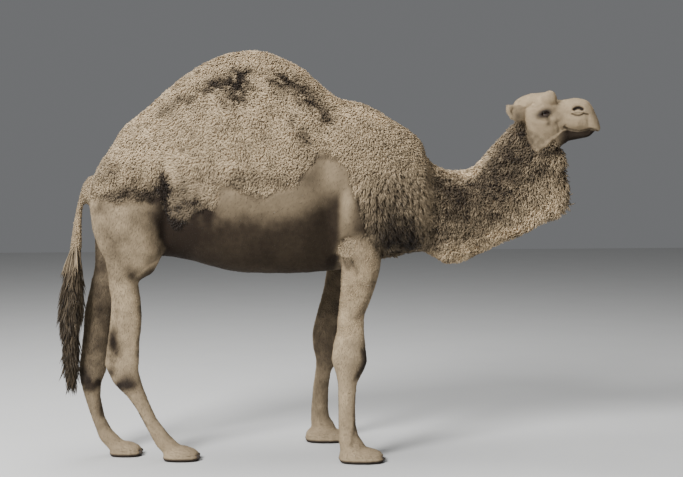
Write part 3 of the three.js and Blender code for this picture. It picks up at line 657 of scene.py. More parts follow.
def head_relief(places, normals):
    """How far the skin of the head stands out or in at each place."""
    folded = flank(places)
    aside = np.abs(normals[:, 1])
    heights = np.zeros(len(places))
    for line, width, depth, facing in HEAD_LINES.values():
        reach = beside(places, rounded(line), width)
        heights -= depth * reach * smoothstep(facing, facing + 0.25, aside)
    for at, size, height in HEAD_FORMS:
        heights += height * blob(folded, at, size)
    # The lower lip stands back under the upper one.
    under = places[:, 2] - curve(places[:, 0], HEAD_LINES["mouth"][0])
    heights -= 0.0065 * smoothstep(0.000, -0.007, under) * smoothstep(1.225, 1.250, places[:, 0])
    # The split of the upper lip, and the hollow between the nostrils.
    heights -= 0.006 * bell(places[:, 1], 0.004) * smoothstep(1.345, 1.375, places[:, 0]) \
        * smoothstep(1.672, 1.684, places[:, 2])
    wrinkles = noise(places * np.array([1, 1, 0.35]), 0.009, 21)
    muzzle = blob(folded, (1.30, 0.06, 1.74), (0.07, 0.06, 0.06))
    heights += 0.0007 * muzzle * wrinkles
    return heights


def line_3d(places, points):
    """Distance from a line of places, and how far along it the nearest spot lies, 0 to 1."""
    line = np.array(points, float)
    nearest, along = np.full(len(places), 1e9), np.zeros(len(places))
    for i, (start, end) in enumerate(zip(line[:-1], line[1:])):
        way = end - start
        share = np.clip(((places - start) @ way) / (way @ way), 0, 1)
        distance = np.linalg.norm(places - start - share[:, None] * way, axis=1)
        closer = distance < nearest
        nearest = np.where(closer, distance, nearest)
        along = np.where(closer, (i + share) / (len(line) - 1), along)
    return nearest, along


# Tendons, bones and folds of the legs and body: line of straight places, width, height.
BODY_LINES = {
    "right achilles": ([(-1.118, -0.140, 0.80), (-1.132, -0.140, 0.62), (-1.150, -0.135, 0.50)],
                       0.012, 0.004),
    "right heel hollow": ([(-1.085, -0.165, 0.80), (-1.098, -0.160, 0.66),
                           (-1.118, -0.155, 0.545)], 0.016, -0.014),
    "right heel hollow inside": ([(-1.090, -0.060, 0.78), (-1.104, -0.055, 0.66),
                                  (-1.122, -0.055, 0.545)], 0.016, -0.012),
    "left heel hollow": ([(-1.240, 0.030, 0.78), (-1.254, 0.018, 0.64), (-1.262, 0.012, 0.54)],
                         0.015, -0.011),
    "left heel hollow outside": ([(-1.240, 0.135, 0.78), (-1.254, 0.118, 0.64),
                                  (-1.262, 0.108, 0.54)], 0.015, -0.011),
    "right fore tendon": ([(0.018, -0.245, 0.40), (0.016, -0.250, 0.28), (0.018, -0.255, 0.18)],
                          0.010, 0.003),
    "right fore groove": ([(0.042, -0.252, 0.41), (0.040, -0.256, 0.28), (0.042, -0.262, 0.19)],
                          0.007, -0.005),
    "left fore groove": ([(-0.036, 0.275, 0.41), (-0.050, 0.282, 0.28), (-0.054, 0.288, 0.19)],
                         0.007, -0.005),
    "right hind groove": ([(-1.040, -0.140, 0.38), (-0.990, -0.134, 0.28),
                           (-0.938, -0.134, 0.17)], 0.006, -0.0045),
    "left hind groove": ([(-1.250, 0.014, 0.38), (-1.246, 0.012, 0.28), (-1.212, 0.006, 0.17)],
                         0.006, -0.0045),
    "right stifle fold": ([(-0.975, -0.235, 0.975), (-0.935, -0.225, 1.005), (-0.88, -0.20, 1.03)],
                          0.012, 0.006),
    "right stifle hollow": ([(-0.985, -0.215, 0.955), (-1.01, -0.20, 0.935)], 0.022, -0.010),
    "right ham line": ([(-1.163, -0.20, 1.26), (-1.14, -0.22, 1.16), (-1.07, -0.22, 1.06),
                        (-1.01, -0.21, 1.00)], 0.022, -0.007),
    "left ham line": ([(-1.18, 0.20, 1.26), (-1.17, 0.22, 1.16), (-1.13, 0.21, 1.04)],
                      0.022, -0.007),
    "right elbow": ([(0.075, -0.255, 1.03), (0.135, -0.252, 1.055)], 0.014, -0.008),
    "right shin": ([(-1.00, -0.155, 0.83), (-0.985, -0.15, 0.70), (-1.00, -0.14, 0.56)],
                   0.02, 0.003),
}
# Knobs and hollows of the joints and the body: place, half sizes, height.
BODY_FORMS = (
    ((0.150, -0.207, 0.50), (0.030, 0.06, 0.070), 0.007),
    ((0.065, 0.227, 0.50), (0.030, 0.06, 0.070), 0.006),
    ((0.070, -0.265, 0.52), (0.035, 0.03, 0.040), 0.005),
    ((-1.050, -0.104, 0.415), (0.035, 0.05, 0.040), 0.005),
    ((-1.272, 0.056, 0.425), (0.035, 0.05, 0.040), 0.005),
    ((-1.065, -0.150, 0.485), (0.035, 0.03, 0.035), 0.004),
    ((0.13, 0.0, 0.975), (0.10, 0.09, 0.06), 0.016),
    ((-0.50, -0.30, 1.345), (0.052, 0.10, 0.038), 0.009),
    ((-0.50, 0.30, 1.345), (0.052, 0.10, 0.038), 0.009),
    ((-0.38, 0.0, 2.09), (0.26, 0.22, 0.07), 0.010),
    ((1.255, 0.0, 1.480), (0.050, 0.12, 0.042), -0.024),
    ((1.250, 0.0, 1.545), (0.040, 0.10, 0.032), 0.008),
    ((-0.02, -0.27, 1.24), (0.06, 0.10, 0.16), -0.014),
    ((-0.02, 0.27, 1.24), (0.06, 0.10, 0.16), -0.014),
    ((-0.845, -0.24, 1.16), (0.030, 0.10, 0.13), -0.024),
    ((-0.845, 0.24, 1.16), (0.030, 0.10, 0.13), -0.024),
    ((-1.17, -0.10, 1.335), (0.04, 0.06, 0.05), 0.010),
    ((-1.17, 0.10, 1.335), (0.04, 0.06, 0.05), 0.010),
    ((-0.25, -0.30, 1.24), (0.20, 0.10, 0.05), -0.006),
)


RIB_SPACING, RIB_HEIGHT, RIB_SLANT = 0.052, 0.0007, 0.25
WOOL_LUMPS, PAD_ROUGHNESS = ((0.0035, 0.075, 32), (0.0022, 0.026, 33)), 0.0022


def body_relief(places, weights):
    """How far the skin of the body and legs stands out or in at each place."""
    heights = np.zeros(len(places))
    for line, width, height in BODY_LINES.values():
        distance, _ = line_3d(places, line)
        heights += height * bell(distance, width)
    for at, size, height in BODY_FORMS:
        heights += height * blob(places, at, size)
    # Ribs under the smooth flanks, and lumps and partings under the wool.
    wool = woolliness(places, weights)
    smooth = of(weights, "trunk") * (1 - wool)
    ribs = np.sin((places[:, 0] + RIB_SLANT * (places[:, 2] - 1.2)) / RIB_SPACING * math.pi)
    heights += RIB_HEIGHT * smooth * ribs * smoothstep(1.42, 1.28, places[:, 2])
    long = wool * of(weights, "trunk", "neck", "thigh")
    heights += long * layered(places, WOOL_LUMPS)
    for line, width, _, deep in PARTINGS:
        heights -= deep * long * beside(flank(places), line, width)
    pads = np.clip(sum(blob(places, at, size) for at, size in PADS), 0, 1)
    heights += pads * PAD_ROUGHNESS * noise(places, 0.010, 31)
    return heights


# ---- the skin --------------------------------------------------------------------------------
# Rounds of smoothing for each group, and for the whole brow.
RELAX_ROUNDS = {"trunk": 60, "neck": 30, "head": 18, "ear": 2, "arm": 15, "thigh": 28, "shank": 6,
                "foot": 3, "dock": 8, "tuft": 4}
TAIL_LINE = [(-1.215, 0, 1.44), (-1.252, 0, 1.40), (-1.280, 0, 1.31), (-1.297, 0, 1.20),
             (-1.303, -0.002, 1.11), (-1.312, -0.004, 1.03), (-1.321, -0.005, 0.93),
             (-1.334, -0.006, 0.74), (-1.335, -0.006, 0.55), (-1.326, -0.006, 0.44)]
TAIL_CORE = 0.80              # the tail's flesh as a share of its whole width
SMOOTHING_TOOK, LEAST_INSET = 0.0008, 0.0005
# Heel, length and place across of each foot, in straight places.
FEET = ((0.022, 0.226, -0.225), (-0.112, 0.222, 0.255), (-0.868, 0.182, -0.102),
        (-1.148, 0.164, 0.030))
CLEFT_DEPTH, CLEFT_WIDTH = 0.007, 0.006
# Round each foot: the sole's edge and the groove over it, as height, level and width.
SOLE_LINES = ((0.0032, 0.014, 0.008), (-0.0022, 0.029, 0.005))
BROW, BROW_ROUNDS = ((1.135, 0, 1.855), (0.055, 0.12, 0.048)), 65
skin = {}                     # what the coat needs to know of the finished skin


def is_head(places):
    """The head down to the throat, which needs a closer mesh than the body."""
    return (places[:, 0] > 0.925) & (places[:, 2] > 1.56 - 0.25 * (places[:, 0] - 1.05))


def is_face(places):
    """The face's folds, and the ears."""
    face = line_distance(places, [(1.08, 1.79), (1.20, 1.77), (1.36, 1.73)]) < 0.062
    ear = (places[:, 0] < 1.03) & (np.abs(places[:, 1]) > 0.072) & (places[:, 2] > 1.72)
    return face | ear


def is_fine(places):
    """The eyes, nostrils and mouth, which need the closest mesh."""
    folded = flank(places)
    eye = np.linalg.norm(folded - EYE_AT, axis=1) < 0.040
    nose = (line_distance(places, [(1.27, 1.782), (1.33, 1.775)]) < 0.022) & (folded[:, 1] > 0.02)
    lips = line_distance(places, HEAD_LINES["mouth"][0]) < 0.010
    return eye | nose | lips


def group_weights(places, tree, groups):
    """How much each place belongs to each group, from the nearest packed face."""
    nearest = np.array([groups[tree.find_nearest(Vector(place))[2]] for place in places])
    return np.eye(len(GROUPS))[nearest]


def thinned_tail(places, weights):
    """The tail's flesh drawn in to a thin core inside its hair."""
    line = np.array(TAIL_LINE)[::-1]
    middle = np.stack([np.interp(places[:, 2], line[:, 2], line[:, 0]),
                       np.interp(places[:, 2], line[:, 2], line[:, 1]), places[:, 2]], 1)
    hair = of(weights, "tuft") * smoothstep(1.12, 0.95, places[:, 2])
    share = 1 - (1 - TAIL_CORE) * hair
    return middle + (places - middle) * share[:, None]


def foot_relief(places):
    """The cleft between the toes, the edge of the sole and the groove over it."""
    heights = np.zeros(len(places))
    for heel, length, aside in FEET:
        toe = heel + length
        cleft, _ = line_3d(places, [(toe + 0.01, aside, 0.01), (toe - 0.30 * length, aside, 0.048),
                                    (toe - 0.52 * length, aside, 0.066)])
        heights -= CLEFT_DEPTH * bell(cleft, CLEFT_WIDTH)
        near = np.abs(places[:, 0] - heel - length / 2) < length * 0.62
        near &= np.abs(places[:, 1] - aside) < 0.13
        for height, level, width in SOLE_LINES:
            heights += near * height * bell(places[:, 2] - level, width)
    return heights


def even_mesh(points, faces):
    """One even closed mesh round these solids, closer on the head, in straight places."""
    mesh = bpy.data.meshes.new("skin")
    mesh.from_pydata(points, [], faces)
    obj = bpy.data.objects.new("skin", mesh)
    bpy.context.scene.collection.objects.link(obj)
    remesh = obj.modifiers.new("Even mesh", "REMESH")
    remesh.mode, remesh.voxel_size = "VOXEL", VOXEL
    mesh = applied(obj)
    set_points(mesh, straightened(get_points(mesh)))
    for chosen in (is_head, is_face, is_fine):
        refine(mesh, chosen)
    return obj


def smoothed(places, edges, weights):
    """The steps of the solids and of the even mesh smoothed away, and the tail thinned."""
    wanted = weights @ np.array([RELAX_ROUNDS[group] for group in GROUPS], float)
    for done in range(0, int(wanted.max()), 5):
        places = relaxed(places, edges, np.clip((wanted - done) / 5, 0, 1), 5)
    places = relaxed(places, edges, blob(places, *BROW), BROW_ROUNDS)
    return thinned_tail(places, weights)


def inset_of(places, weights):
    """How far the skin lies inside the solids: the coat's depth, less what smoothing took."""
    depth = coat_depth(places, weights, woolliness(places, weights))
    return np.maximum(depth - SMOOTHING_TOOK * of(weights, "shank", "head", "foot"), LEAST_INSET)


def build_skin():
    """The finished skin in straight places, with the place and group weights of each vertex."""
    points, faces, groups = merged_solids(FLESH + EYES, OVERLAP)
    obj = even_mesh(points, faces)
    mesh = obj.data
    tree = BVHTree.FromPolygons([Vector(p) for p in straightened(np.array(points))], faces)
    places, edges = get_points(mesh), get_edges(mesh)
    weights = group_weights(places, tree, groups)
    weights = relaxed(weights, edges, np.ones(len(places)), 8, 0.6)
    weights /= weights.sum(1, keepdims=True)
    places = smoothed(places, edges, weights)
    set_points(mesh, places)
    places = pushed(places, get_normals(mesh), -inset_of(places, weights))
    places = relaxed(places, edges, 1 - of(weights, "ear"), 3)
    set_points(mesh, places)
    places = pushed(places, get_normals(mesh), body_relief(places, weights) + foot_relief(places))
    set_points(mesh, places)
    face = of(weights, "head") + of(weights, "neck") * is_head(places)
    places = pushed(places, get_normals(mesh), head_relief(places, get_normals(mesh)) * face)
    places = opened_lids(places)
    places[:, 2] = np.maximum(places[:, 2], 0)
    set_points(mesh, places)
    mesh.shade_smooth()
    return obj, places, weights


def float_attributes(mesh, **columns):
    """Stores a number for each vertex under each name."""
    for name, values in columns.items():
        layer = mesh.attributes.new(name, "FLOAT", "POINT")
        layer.data.foreach_set("value", values.astype(np.float32))


def make_skin():
    """The skin as a piece, standing for all the flesh."""
    obj, places, weights = build_skin()
    mesh = obj.data
    wool = woolliness(places, weights)
    float_attributes(mesh, shade=shade_of(places, weights, wool), bare=skin_bareness(places),
                     wool=wool)
    mesh.calc_loop_triangles()
    skin.update(places=places, normals=get_normals(mesh), weights=weights, wool=wool,
                triangles=fetched(mesh.loop_triangles, "vertices", 3, np.int32))
    set_points(mesh, bent(places))
    mesh.materials.clear()
    mesh.materials.append(skin_material())
    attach(obj, "root")
    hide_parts(*FLESH)


def skin_bareness(places):
    """Bare patches, with the soles."""
    return np.clip(bareness(places) + smoothstep(0.024, 0.012, places[:, 2]), 0, 1)


# ---- the coat --------------------------------------------------------------------------------
TRIED = 2.6                   # roots tried for each one wanted
CELL = 1.22                   # side of the cells that keep one root each, in spacings
CELL_STEPS = np.array([1, 100003, 10000600009])


def scattered(rng, spacing, amount):
    """Roots about one spacing apart over the skin, thinner where `amount` of each vertex is
    below 1."""
    triangles = skin["triangles"]
    share = amount[triangles].mean(1)
    corners = skin["places"][triangles]
    area = np.linalg.norm(np.cross(corners[:, 1] - corners[:, 0], corners[:, 2] - corners[:, 0]),
                          axis=1) / 2 * share
    total = np.cumsum(area)
    count = int(total[-1] / spacing ** 2 * TRIED)
    picked = np.searchsorted(total, rng.random(count) * total[-1])
    a, b = rng.random((2, count))
    over = a + b > 1
    a[over], b[over] = 1 - a[over], 1 - b[over]
    mix = np.stack([1 - a - b, a, b], 1)[:, :, None]
    vertices = triangles[picked]
    places = (skin["places"][vertices] * mix).sum(1)
    cells = np.floor(places / (spacing * CELL)).astype(np.int64)
    _, first = np.unique(cells @ CELL_STEPS, return_index=True)
    first.sort()
    vertices, mix = vertices[first], mix[first]
    return (places[first], unit((skin["normals"][vertices] * mix).sum(1)),
            (skin["weights"][vertices] * mix).sum(1))


def lie_of_coat(places, normals, weights):
    """The way the hair points from its root, along the skin."""
    side = np.sign(places[:, 1])
    ones, none = np.ones(len(places)), np.zeros(len(places))
    cape = smoothstep(0.05, 0.35, places[:, 0])
    throat = blob(places, (1.20, 0, 1.36), (0.16, 0.2, 0.26))
    ways = {
        "trunk": (-0.6 + 1.10 * cape, 0.5 * side * np.abs(normals[:, 2]), -0.8 * ones),
        "neck": (-0.5 + 0.6 * throat, 0.3 * side, -0.9 * ones),
        "head": (-ones, 0.15 * side, 0.25 - 0.5 * smoothstep(1.22, 1.05, places[:, 0])),
        "ear": (-ones, 0.2 * side, 0.25 * ones),
        "arm": (-0.1 * ones, none, -ones),
        "thigh": (-0.25 * ones, none, -ones),
        "shank": (-0.1 * ones, none, -ones),
        "foot": (0.8 * ones, none, -0.6 * ones),
        "dock": (-0.12 * ones, none, -ones),
        "tuft": (-0.05 * ones, none, -ones),
    }
    way = sum(of(weights, group)[:, None] * np.stack(parts, 1) for group, parts in ways.items())
    return unit(way - (way * normals).sum(1, keepdims=True) * normals)


def turned(vectors, axes, angles):
    """Vectors at right angles to their axes, turned about them."""
    return vectors * np.cos(angles)[:, None] + np.cross(axes, vectors) * np.sin(angles)[:, None]


def clump_middles(places, size, seed):
    """The middle of the nearest lock that each root belongs to, and the lock's own number."""
    cell = np.floor(places / size).astype(np.int64)
    best, middle, own = np.full(len(places), 1e9), places.copy(), np.zeros(len(places))
    for step in np.ndindex(3, 3, 3):
        near = cell + np.array(step) - 1
        jitter = np.stack([lattice(near, seed + k) for k in range(3)], 1) - 0.5
        spot = (near + 0.5 + 0.8 * jitter) * size
        distance = np.linalg.norm(spot - places, axis=1)
        closer = distance < best
        best = np.where(closer, distance, best)
        middle[closer] = spot[closer]
        own[closer] = lattice(near[closer], seed + 9)
    return middle, own


def tuft_template(segments):
    """Corner lists of one three-sided tuft with a closed root and a pointed tip."""
    tip = segments * 3
    faces = [(0, 2, 1)]
    for ring in range(segments - 1):
        for k in range(3):
            a, b = ring * 3 + k, ring * 3 + (k + 1) % 3
            faces.append((a, b, b + 3, a + 3))
    top = tip - 3
    faces += [(top + k, top + (k + 1) % 3, tip) for k in range(3)]
    return faces, tip + 1


# A tuft's width along it, as a share of its widest.
TAPER = ([0, 0.35, 0.7, 1], [0.72, 1.0, 0.78, 0.3])


def tuft_points(roots, normals, lie, length, width, lift, settle, curl, segments, ridge, sunk):
    """Points of the tufts, each a tapered bent blade from its root to its tip. They rise by
    `lift` at the root and `settle` at the tip, turn by `curl`, and start `sunk` deep."""
    side = np.cross(normals, lie)
    middle = roots - normals * sunk
    widths = np.interp(np.arange(segments) / segments, *TAPER)
    rings = []
    for ring in range(segments + 1):
        share = ring / segments
        rise = lift + (settle - lift) * share
        turn = curl * share ** 1.4
        flat = lie * np.cos(turn)[:, None] + side * np.sin(turn)[:, None]
        ahead = flat * np.cos(rise)[:, None] + normals * np.sin(rise)[:, None]
        if ring == segments:
            rings.append(middle[:, None, :])
            break
        across = np.cross(normals, flat)
        up = np.cross(ahead, across)
        half = (width * widths[ring] / 2)[:, None]
        rings.append(np.stack([middle - across * half, middle + across * half,
                               middle + up * half * ridge], 1))
        middle = middle + ahead * (length / segments)[:, None]
    return np.concatenate(rings, 1)


def unwrapped(places, axes):
    """A place on an unwrap of the skin: how far along its axis, and the angle around it."""
    best = np.full(len(places), 1e9)
    along, around, which = np.zeros((3, len(places)))
    for index, axis in enumerate(axes):
        distance, share = line_3d(places, axis)
        line = np.array(axis, float)
        lengths = np.r_[0, np.cumsum(np.linalg.norm(np.diff(line, axis=0), axis=1))]
        way = unit(line[-1] - line[0])
        up = unit(np.cross(way, (0, 1, 0)))
        spot = np.stack([np.interp(share * (len(line) - 1), np.arange(len(line)), line[:, k])
                         for k in range(3)], 1)
        angle = np.arctan2((places - spot) @ np.cross(way, up), (places - spot) @ up)
        closer = distance < best
        best = np.where(closer, distance, best)
        far = (places - line[-1]) @ way
        near = (places - line[0]) @ way
        reach = np.interp(share, np.linspace(0, 1, len(line)), lengths) \
            + np.maximum(far, 0) * (share >= 1) + np.minimum(near, 0) * (share <= 0)
        along = np.where(closer, reach, along)
        around = np.where(closer, angle, around)
        which = np.where(closer, index, which)
    return along, around, which


# Where the charts start and how much of their strip and of the square they fill.
CHART_START, CHART_WIDTH, MAP_START, MAP_HEIGHT = 0.02, 0.94, 0.01, 0.97


def root_map(places, axes):
    """Roots on the unit square: charts of the axes side by side, spread to fill it."""
    along, around, which = unwrapped(places, axes)
    square = np.zeros((len(places), 2))
    for index in range(len(axes)):
        own = which == index
        if own.any():
            for column, values in ((0, around[own]), (1, along[own])):
                low, high = values.min(), values.max()
                square[own, column] = (values - low) / max(high - low, 1e-9)
            square[own, 0] = (index + CHART_START + CHART_WIDTH * square[own, 0]) / len(axes)
    square[:, 1] = MAP_START + MAP_HEIGHT * square[:, 1]
    return square


PATCH = 0.003                 # a tuft's patch on the bake's map


def tuft_object(name, points, segments, roots, axes, values):
    """One mesh of all the tufts, with their values and the map for the bake."""
    faces, size = tuft_template(segments)
    count = len(points)
    flat = np.concatenate(faces)
    starts = np.r_[0, np.cumsum([len(face) for face in faces])[:-1]]
    steps = np.arange(count)[:, None]
    corners = (flat[None, :] + steps * size).ravel()
    mesh = bpy.data.meshes.new(name)
    mesh.vertices.add(count * size)
    mesh.vertices.foreach_set("co", bent(points.reshape(-1, 3)).astype(np.float32).ravel())
    mesh.loops.add(len(corners))
    mesh.loops.foreach_set("vertex_index", corners.astype(np.int32))
    mesh.polygons.add(count * len(faces))
    mesh.polygons.foreach_set("loop_start", (starts + steps * len(flat)).ravel().astype(np.int32))
    mesh.update(calc_edges=True)
    tip = np.r_[np.repeat(np.arange(segments) / segments, 3), 1.0]
    float_attributes(mesh, tip=np.tile(tip, count),
                     **{label: np.repeat(column, size) for label, column in values.items()})
    # Each tuft lies up its own patch: its corners spread across, its rings along.
    spread = np.r_[np.tile([-0.5, 0.5, 0.0], segments), 0.0]
    rise = tip + np.r_[np.tile([0, 0, 0.12], segments), 0.0]
    square = root_map(roots, axes)
    uv = np.stack([square[:, [0]] + PATCH * spread, square[:, [1]] + PATCH * rise], 2)
    layer = mesh.uv_layers.new(name="OFBake")
    layer.uv.foreach_set("vector", uv.reshape(-1, 2)[corners].astype(np.float32).ravel())
    mesh.shade_smooth()
    obj = bpy.data.objects.new(name, mesh)
    bpy.context.scene.collection.objects.link(obj)
    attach(obj, "root")
    return obj


# Lines that the skin is unwrapped about, in straight places.
BODY_AXIS = [(-1.25, 0, 1.38), (0.52, 0, 1.36)]
NECK_AXIS = [(0.45, 0, 1.30), (0.60, 0, 1.24), (0.75, 0, 1.27), (0.93, 0, 1.42), (1.10, 0, 1.55)]
HEAD_AXIS = [(0.93, 0, 1.80), (1.12, 0, 1.75), (1.40, 0, 1.69)]
FORE_AXES = ([(0.136, -0.172, 1.15), (0.082, -0.198, 0.66), (0.062, -0.221, 0.19),
              (0.17, -0.225, 0.0)],
             [(0.112, 0.174, 1.06), (0.004, 0.214, 0.66), (-0.036, 0.25, 0.19),
              (0.06, 0.255, 0.0)])
HIND_AXES = ([(-1.042, -0.139, 1.33), (-1.03, -0.124, 1.0), (-1.072, -0.105, 0.5),
              (-0.93, -0.102, 0.198), (-0.78, -0.102, 0.0)],
             [(-1.054, 0.139, 1.33), (-1.13, 0.112, 0.95), (-1.236, 0.059, 0.445),
              (-1.206, 0.04, 0.195), (-1.06, 0.03, 0.0)])
TAIL_AXIS = [TAIL_LINE[0], TAIL_LINE[4], TAIL_LINE[-1]]

# Each kind of hair: length (as a share of the coat's depth, and at least), width, rise at the
# root and the tip, curl, pull towards the lock's middle, size of a lock, spread of the ways of
# neighbours, height of the ridge as a share of the half width, segments and the root's depth.
# Metres and degrees, and radians for the spread.
HAIR = {
    "wool": dict(deep=1.45, least=0.010, width=0.0074, lift=29, settle=3, curl=105, pull=0.14,
                 lock=0.024, spread=0.60, ridge=0.42, segments=2, sunk=0.0010),
    "cape": dict(deep=2.2, least=0.022, width=0.0066, lift=24, settle=0, curl=30, pull=0.34,
                 lock=0.030, spread=0.16, ridge=0.5, segments=3, sunk=0.0010),
    "curls": dict(deep=1.60, least=0.012, width=0.0066, lift=42, settle=6, curl=135, pull=0.20,
                  lock=0.027, spread=0.45, ridge=0.5, segments=3, sunk=0.0010),
    "beard": dict(deep=2.1, least=0.030, width=0.0065, lift=40, settle=-8, curl=55, pull=0.45,
                  lock=0.026, spread=0.16, ridge=0.6, segments=4, sunk=0.0010),
    "short": dict(deep=0.5, least=0.0130, width=0.0028, lift=8, settle=1, curl=14, pull=0.10,
                  lock=0.03, spread=0.16, ridge=0.5, segments=2, sunk=0.0004),
    "face": dict(deep=0.5, least=0.0088, width=0.0016, lift=7, settle=1, curl=14, pull=0.0,
                 lock=0.03, spread=0.16, ridge=0.5, segments=2, sunk=0.0003),
    "tail": dict(deep=0.5, least=0.140, width=0.0085, lift=8, settle=0, curl=10, pull=0.16,
                 lock=0.035, spread=0.07, ridge=0.6, segments=4, sunk=0.0010),
}


SWIRL = {"wool": 1.1, "curls": 1.1, "tail": 0.12}     # slow turns of the lie, in radians
CALM_SWIRL = 0.35
# How unlike each other the tufts are: least and most share of the length, width and rise.
LENGTHS, WIDTHS, LIFTS = (0.78, 1.18), (0.75, 1.25), (0.75, 1.2)


def coat_piece(name, hair, spacing, amount, axes, material, seed):
    """Grows one piece of the coat where `amount` of each skin vertex is above 0."""
    style = HAIR[hair]
    rng = np.random.default_rng(seed)
    spacing = spacing * 1.0
    roots, normals, weights = scattered(rng, spacing, amount)
    count = len(roots)
    lie = lie_of_coat(roots, normals, weights)
    wool = woolliness(roots, weights)
    depth = coat_depth(roots, weights, wool)
    swirl = SWIRL.get(hair, CALM_SWIRL) * noise(roots, 0.055, seed)
    lie = turned(lie, normals, swirl + rng.normal(0, style["spread"], count))
    middle, lock = clump_middles(roots, style["lock"], seed)
    middle -= roots
    middle -= (middle * normals).sum(1, keepdims=True) * normals
    lie = unit(lie * (1 - style["pull"]) + middle / style["lock"] * 2 * style["pull"])
    length = np.maximum(depth * style["deep"], style["least"]) * rng.uniform(*LENGTHS, count)
    width = style["width"] * rng.uniform(*WIDTHS, count) * 1.0
    if hair in ("wool", "curls"):
        width *= 0.62 + 0.38 * wool
        length *= 0.70 + 0.30 * wool
    lift = np.radians(style["lift"]) * rng.uniform(*LIFTS, count)
    settle = np.radians(style["settle"]) + rng.normal(0, 0.10, count)
    curl = np.radians(style["curl"]) \
        * np.clip(rng.normal(0, 0.6, count) + noise(roots, 0.04, seed + 5), -1.6, 1.6)
    points = tuft_points(roots, normals, lie, length, width, lift, settle, curl,
                         style["segments"], style["ridge"], style["sunk"])
    values = {"shade": shade_of(roots, weights, wool), "bare": skin_bareness(roots),
              "wool": wool, "strand": 0.45 * rng.random(count) + 0.55 * lock}
    obj = tuft_object(name, points, style["segments"], roots, axes, values)
    obj.data.materials.append(material)


# ---- materials -------------------------------------------------------------------------------
def new_group(name, sockets):
    """A shader node group with these sockets: (name, INPUT or OUTPUT, type, default)."""
    group = bpy.data.node_groups.new(name, "ShaderNodeTree")
    for label, way, kind, default in sockets:
        socket = group.interface.new_socket(label, in_out=way, socket_type=f"NodeSocket{kind}")
        if default is not None:
            socket.default_value = default
    return group, group.nodes.new("NodeGroupInput"), group.nodes.new("NodeGroupOutput")


def joined(tree, value, socket):
    """Links a socket's value, or sets a plain one."""
    if isinstance(value, bpy.types.NodeSocket):
        tree.links.new(value, socket)
    elif value is not None:
        socket.default_value = value


def mixed(tree, factor, first, second, blend="MIX"):
    """A colour mix, of sockets or plain values. Returns its colour."""
    node = tree.nodes.new("ShaderNodeMix")
    node.data_type, node.blend_type = "RGBA", blend
    for index, value in ((0, factor), (6, first), (7, second)):
        joined(tree, value, node.inputs[index])
    return node.outputs[2]


def sums(tree, operation, first, second=None, clamp=False):
    """A math node on sockets or numbers. Returns its value."""
    node = tree.nodes.new("ShaderNodeMath")
    node.operation, node.use_clamp = operation, clamp
    joined(tree, first, node.inputs[0])
    joined(tree, second, node.inputs[1])
    return node.outputs[0]


def stored(tree, name):
    """A number stored on the mesh."""
    node = tree.nodes.new("ShaderNodeAttribute")
    node.attribute_name = name
    return node.outputs["Fac"]


def shared(name, build, sockets):
    """The shared node group of this name, built on first use."""
    found = bpy.data.node_groups.get(name)
    if found:
        return found
    group, inside, out = new_group(name, sockets)
    build(group, inside.outputs, out.inputs)
    return group


def grain_nodes(group, given, results):
    """Noise on the animal's own coordinates."""
    place = group.nodes.new("ShaderNodeTexCoord")
    mapping = group.nodes.new("ShaderNodeMapping")
    node = group.nodes.new("ShaderNodeTexNoise")
    group.links.new(place.outputs["Object"], mapping.inputs["Vector"])
    group.links.new(given["Stretch"], mapping.inputs["Scale"])
    group.links.new(mapping.outputs["Vector"], node.inputs["Vector"])
    group.links.new(given["Scale"], node.inputs["Scale"])
    group.links.new(given["Detail"], node.inputs["Detail"])
    group.links.new(node.outputs["Fac"], results["Value"])


def grain(tree, scale, detail=3.0, stretch=(1, 1, 1)):
    """The shared grain placed in a tree."""
    group = shared("Fine grain", grain_nodes, [
        ("Scale", "INPUT", "Float", 100.0), ("Detail", "INPUT", "Float", 3.0),
        ("Stretch", "INPUT", "Vector", (1, 1, 1)), ("Value", "OUTPUT", "Float", None)])
    return placed(tree, group, Scale=scale, Detail=detail, Stretch=stretch)


def relief_nodes(group, given, results):
    """A surface normal from a height."""
    bump = group.nodes.new("ShaderNodeBump")
    for name in ("Height", "Strength", "Distance"):
        group.links.new(given[name], bump.inputs[name])
    group.links.new(bump.outputs["Normal"], results["Normal"])


def markings_and_painted_light_nodes(group, given, results):
    """The markings that skin and coat share, with the painted light and shade laid into them: pale
    and dark hair, bare pads.
    """
    mottle = sums(group, "MULTIPLY", sums(group, "SUBTRACT", grain(group, 38.0), 0.5),
                  given["Mottle"])
    shade = sums(group, "ADD", stored(group, "shade"), mottle, clamp=True)
    hair = mixed(group, sums(group, "POWER", shade, 2.0), given["Dark"], given["Pale"])
    colour = mixed(group, stored(group, "bare"), hair, given["Bare"])
    group.links.new(colour, results["Color"])


def coat_colour(tree, mottle):
    """The shared markings and painted light placed in a tree, with the colours of the settings."""
    group = shared("Dromedary markings and painted light", markings_and_painted_light_nodes, [
        ("Pale", "INPUT", "Color", (1, 1, 1, 1)), ("Dark", "INPUT", "Color", (0, 0, 0, 1)),
        ("Bare", "INPUT", "Color", (0, 0, 0, 1)), ("Mottle", "INPUT", "Float", 0.1),
        ("Color", "OUTPUT", "Color", None)])
    colours = bpy.context.scene.camel_colours
    return placed(tree, group, Pale=rgba(colours.pale), Dark=rgba(colours.dark),
                  Bare=rgba(colours.bare), Mottle=mottle)


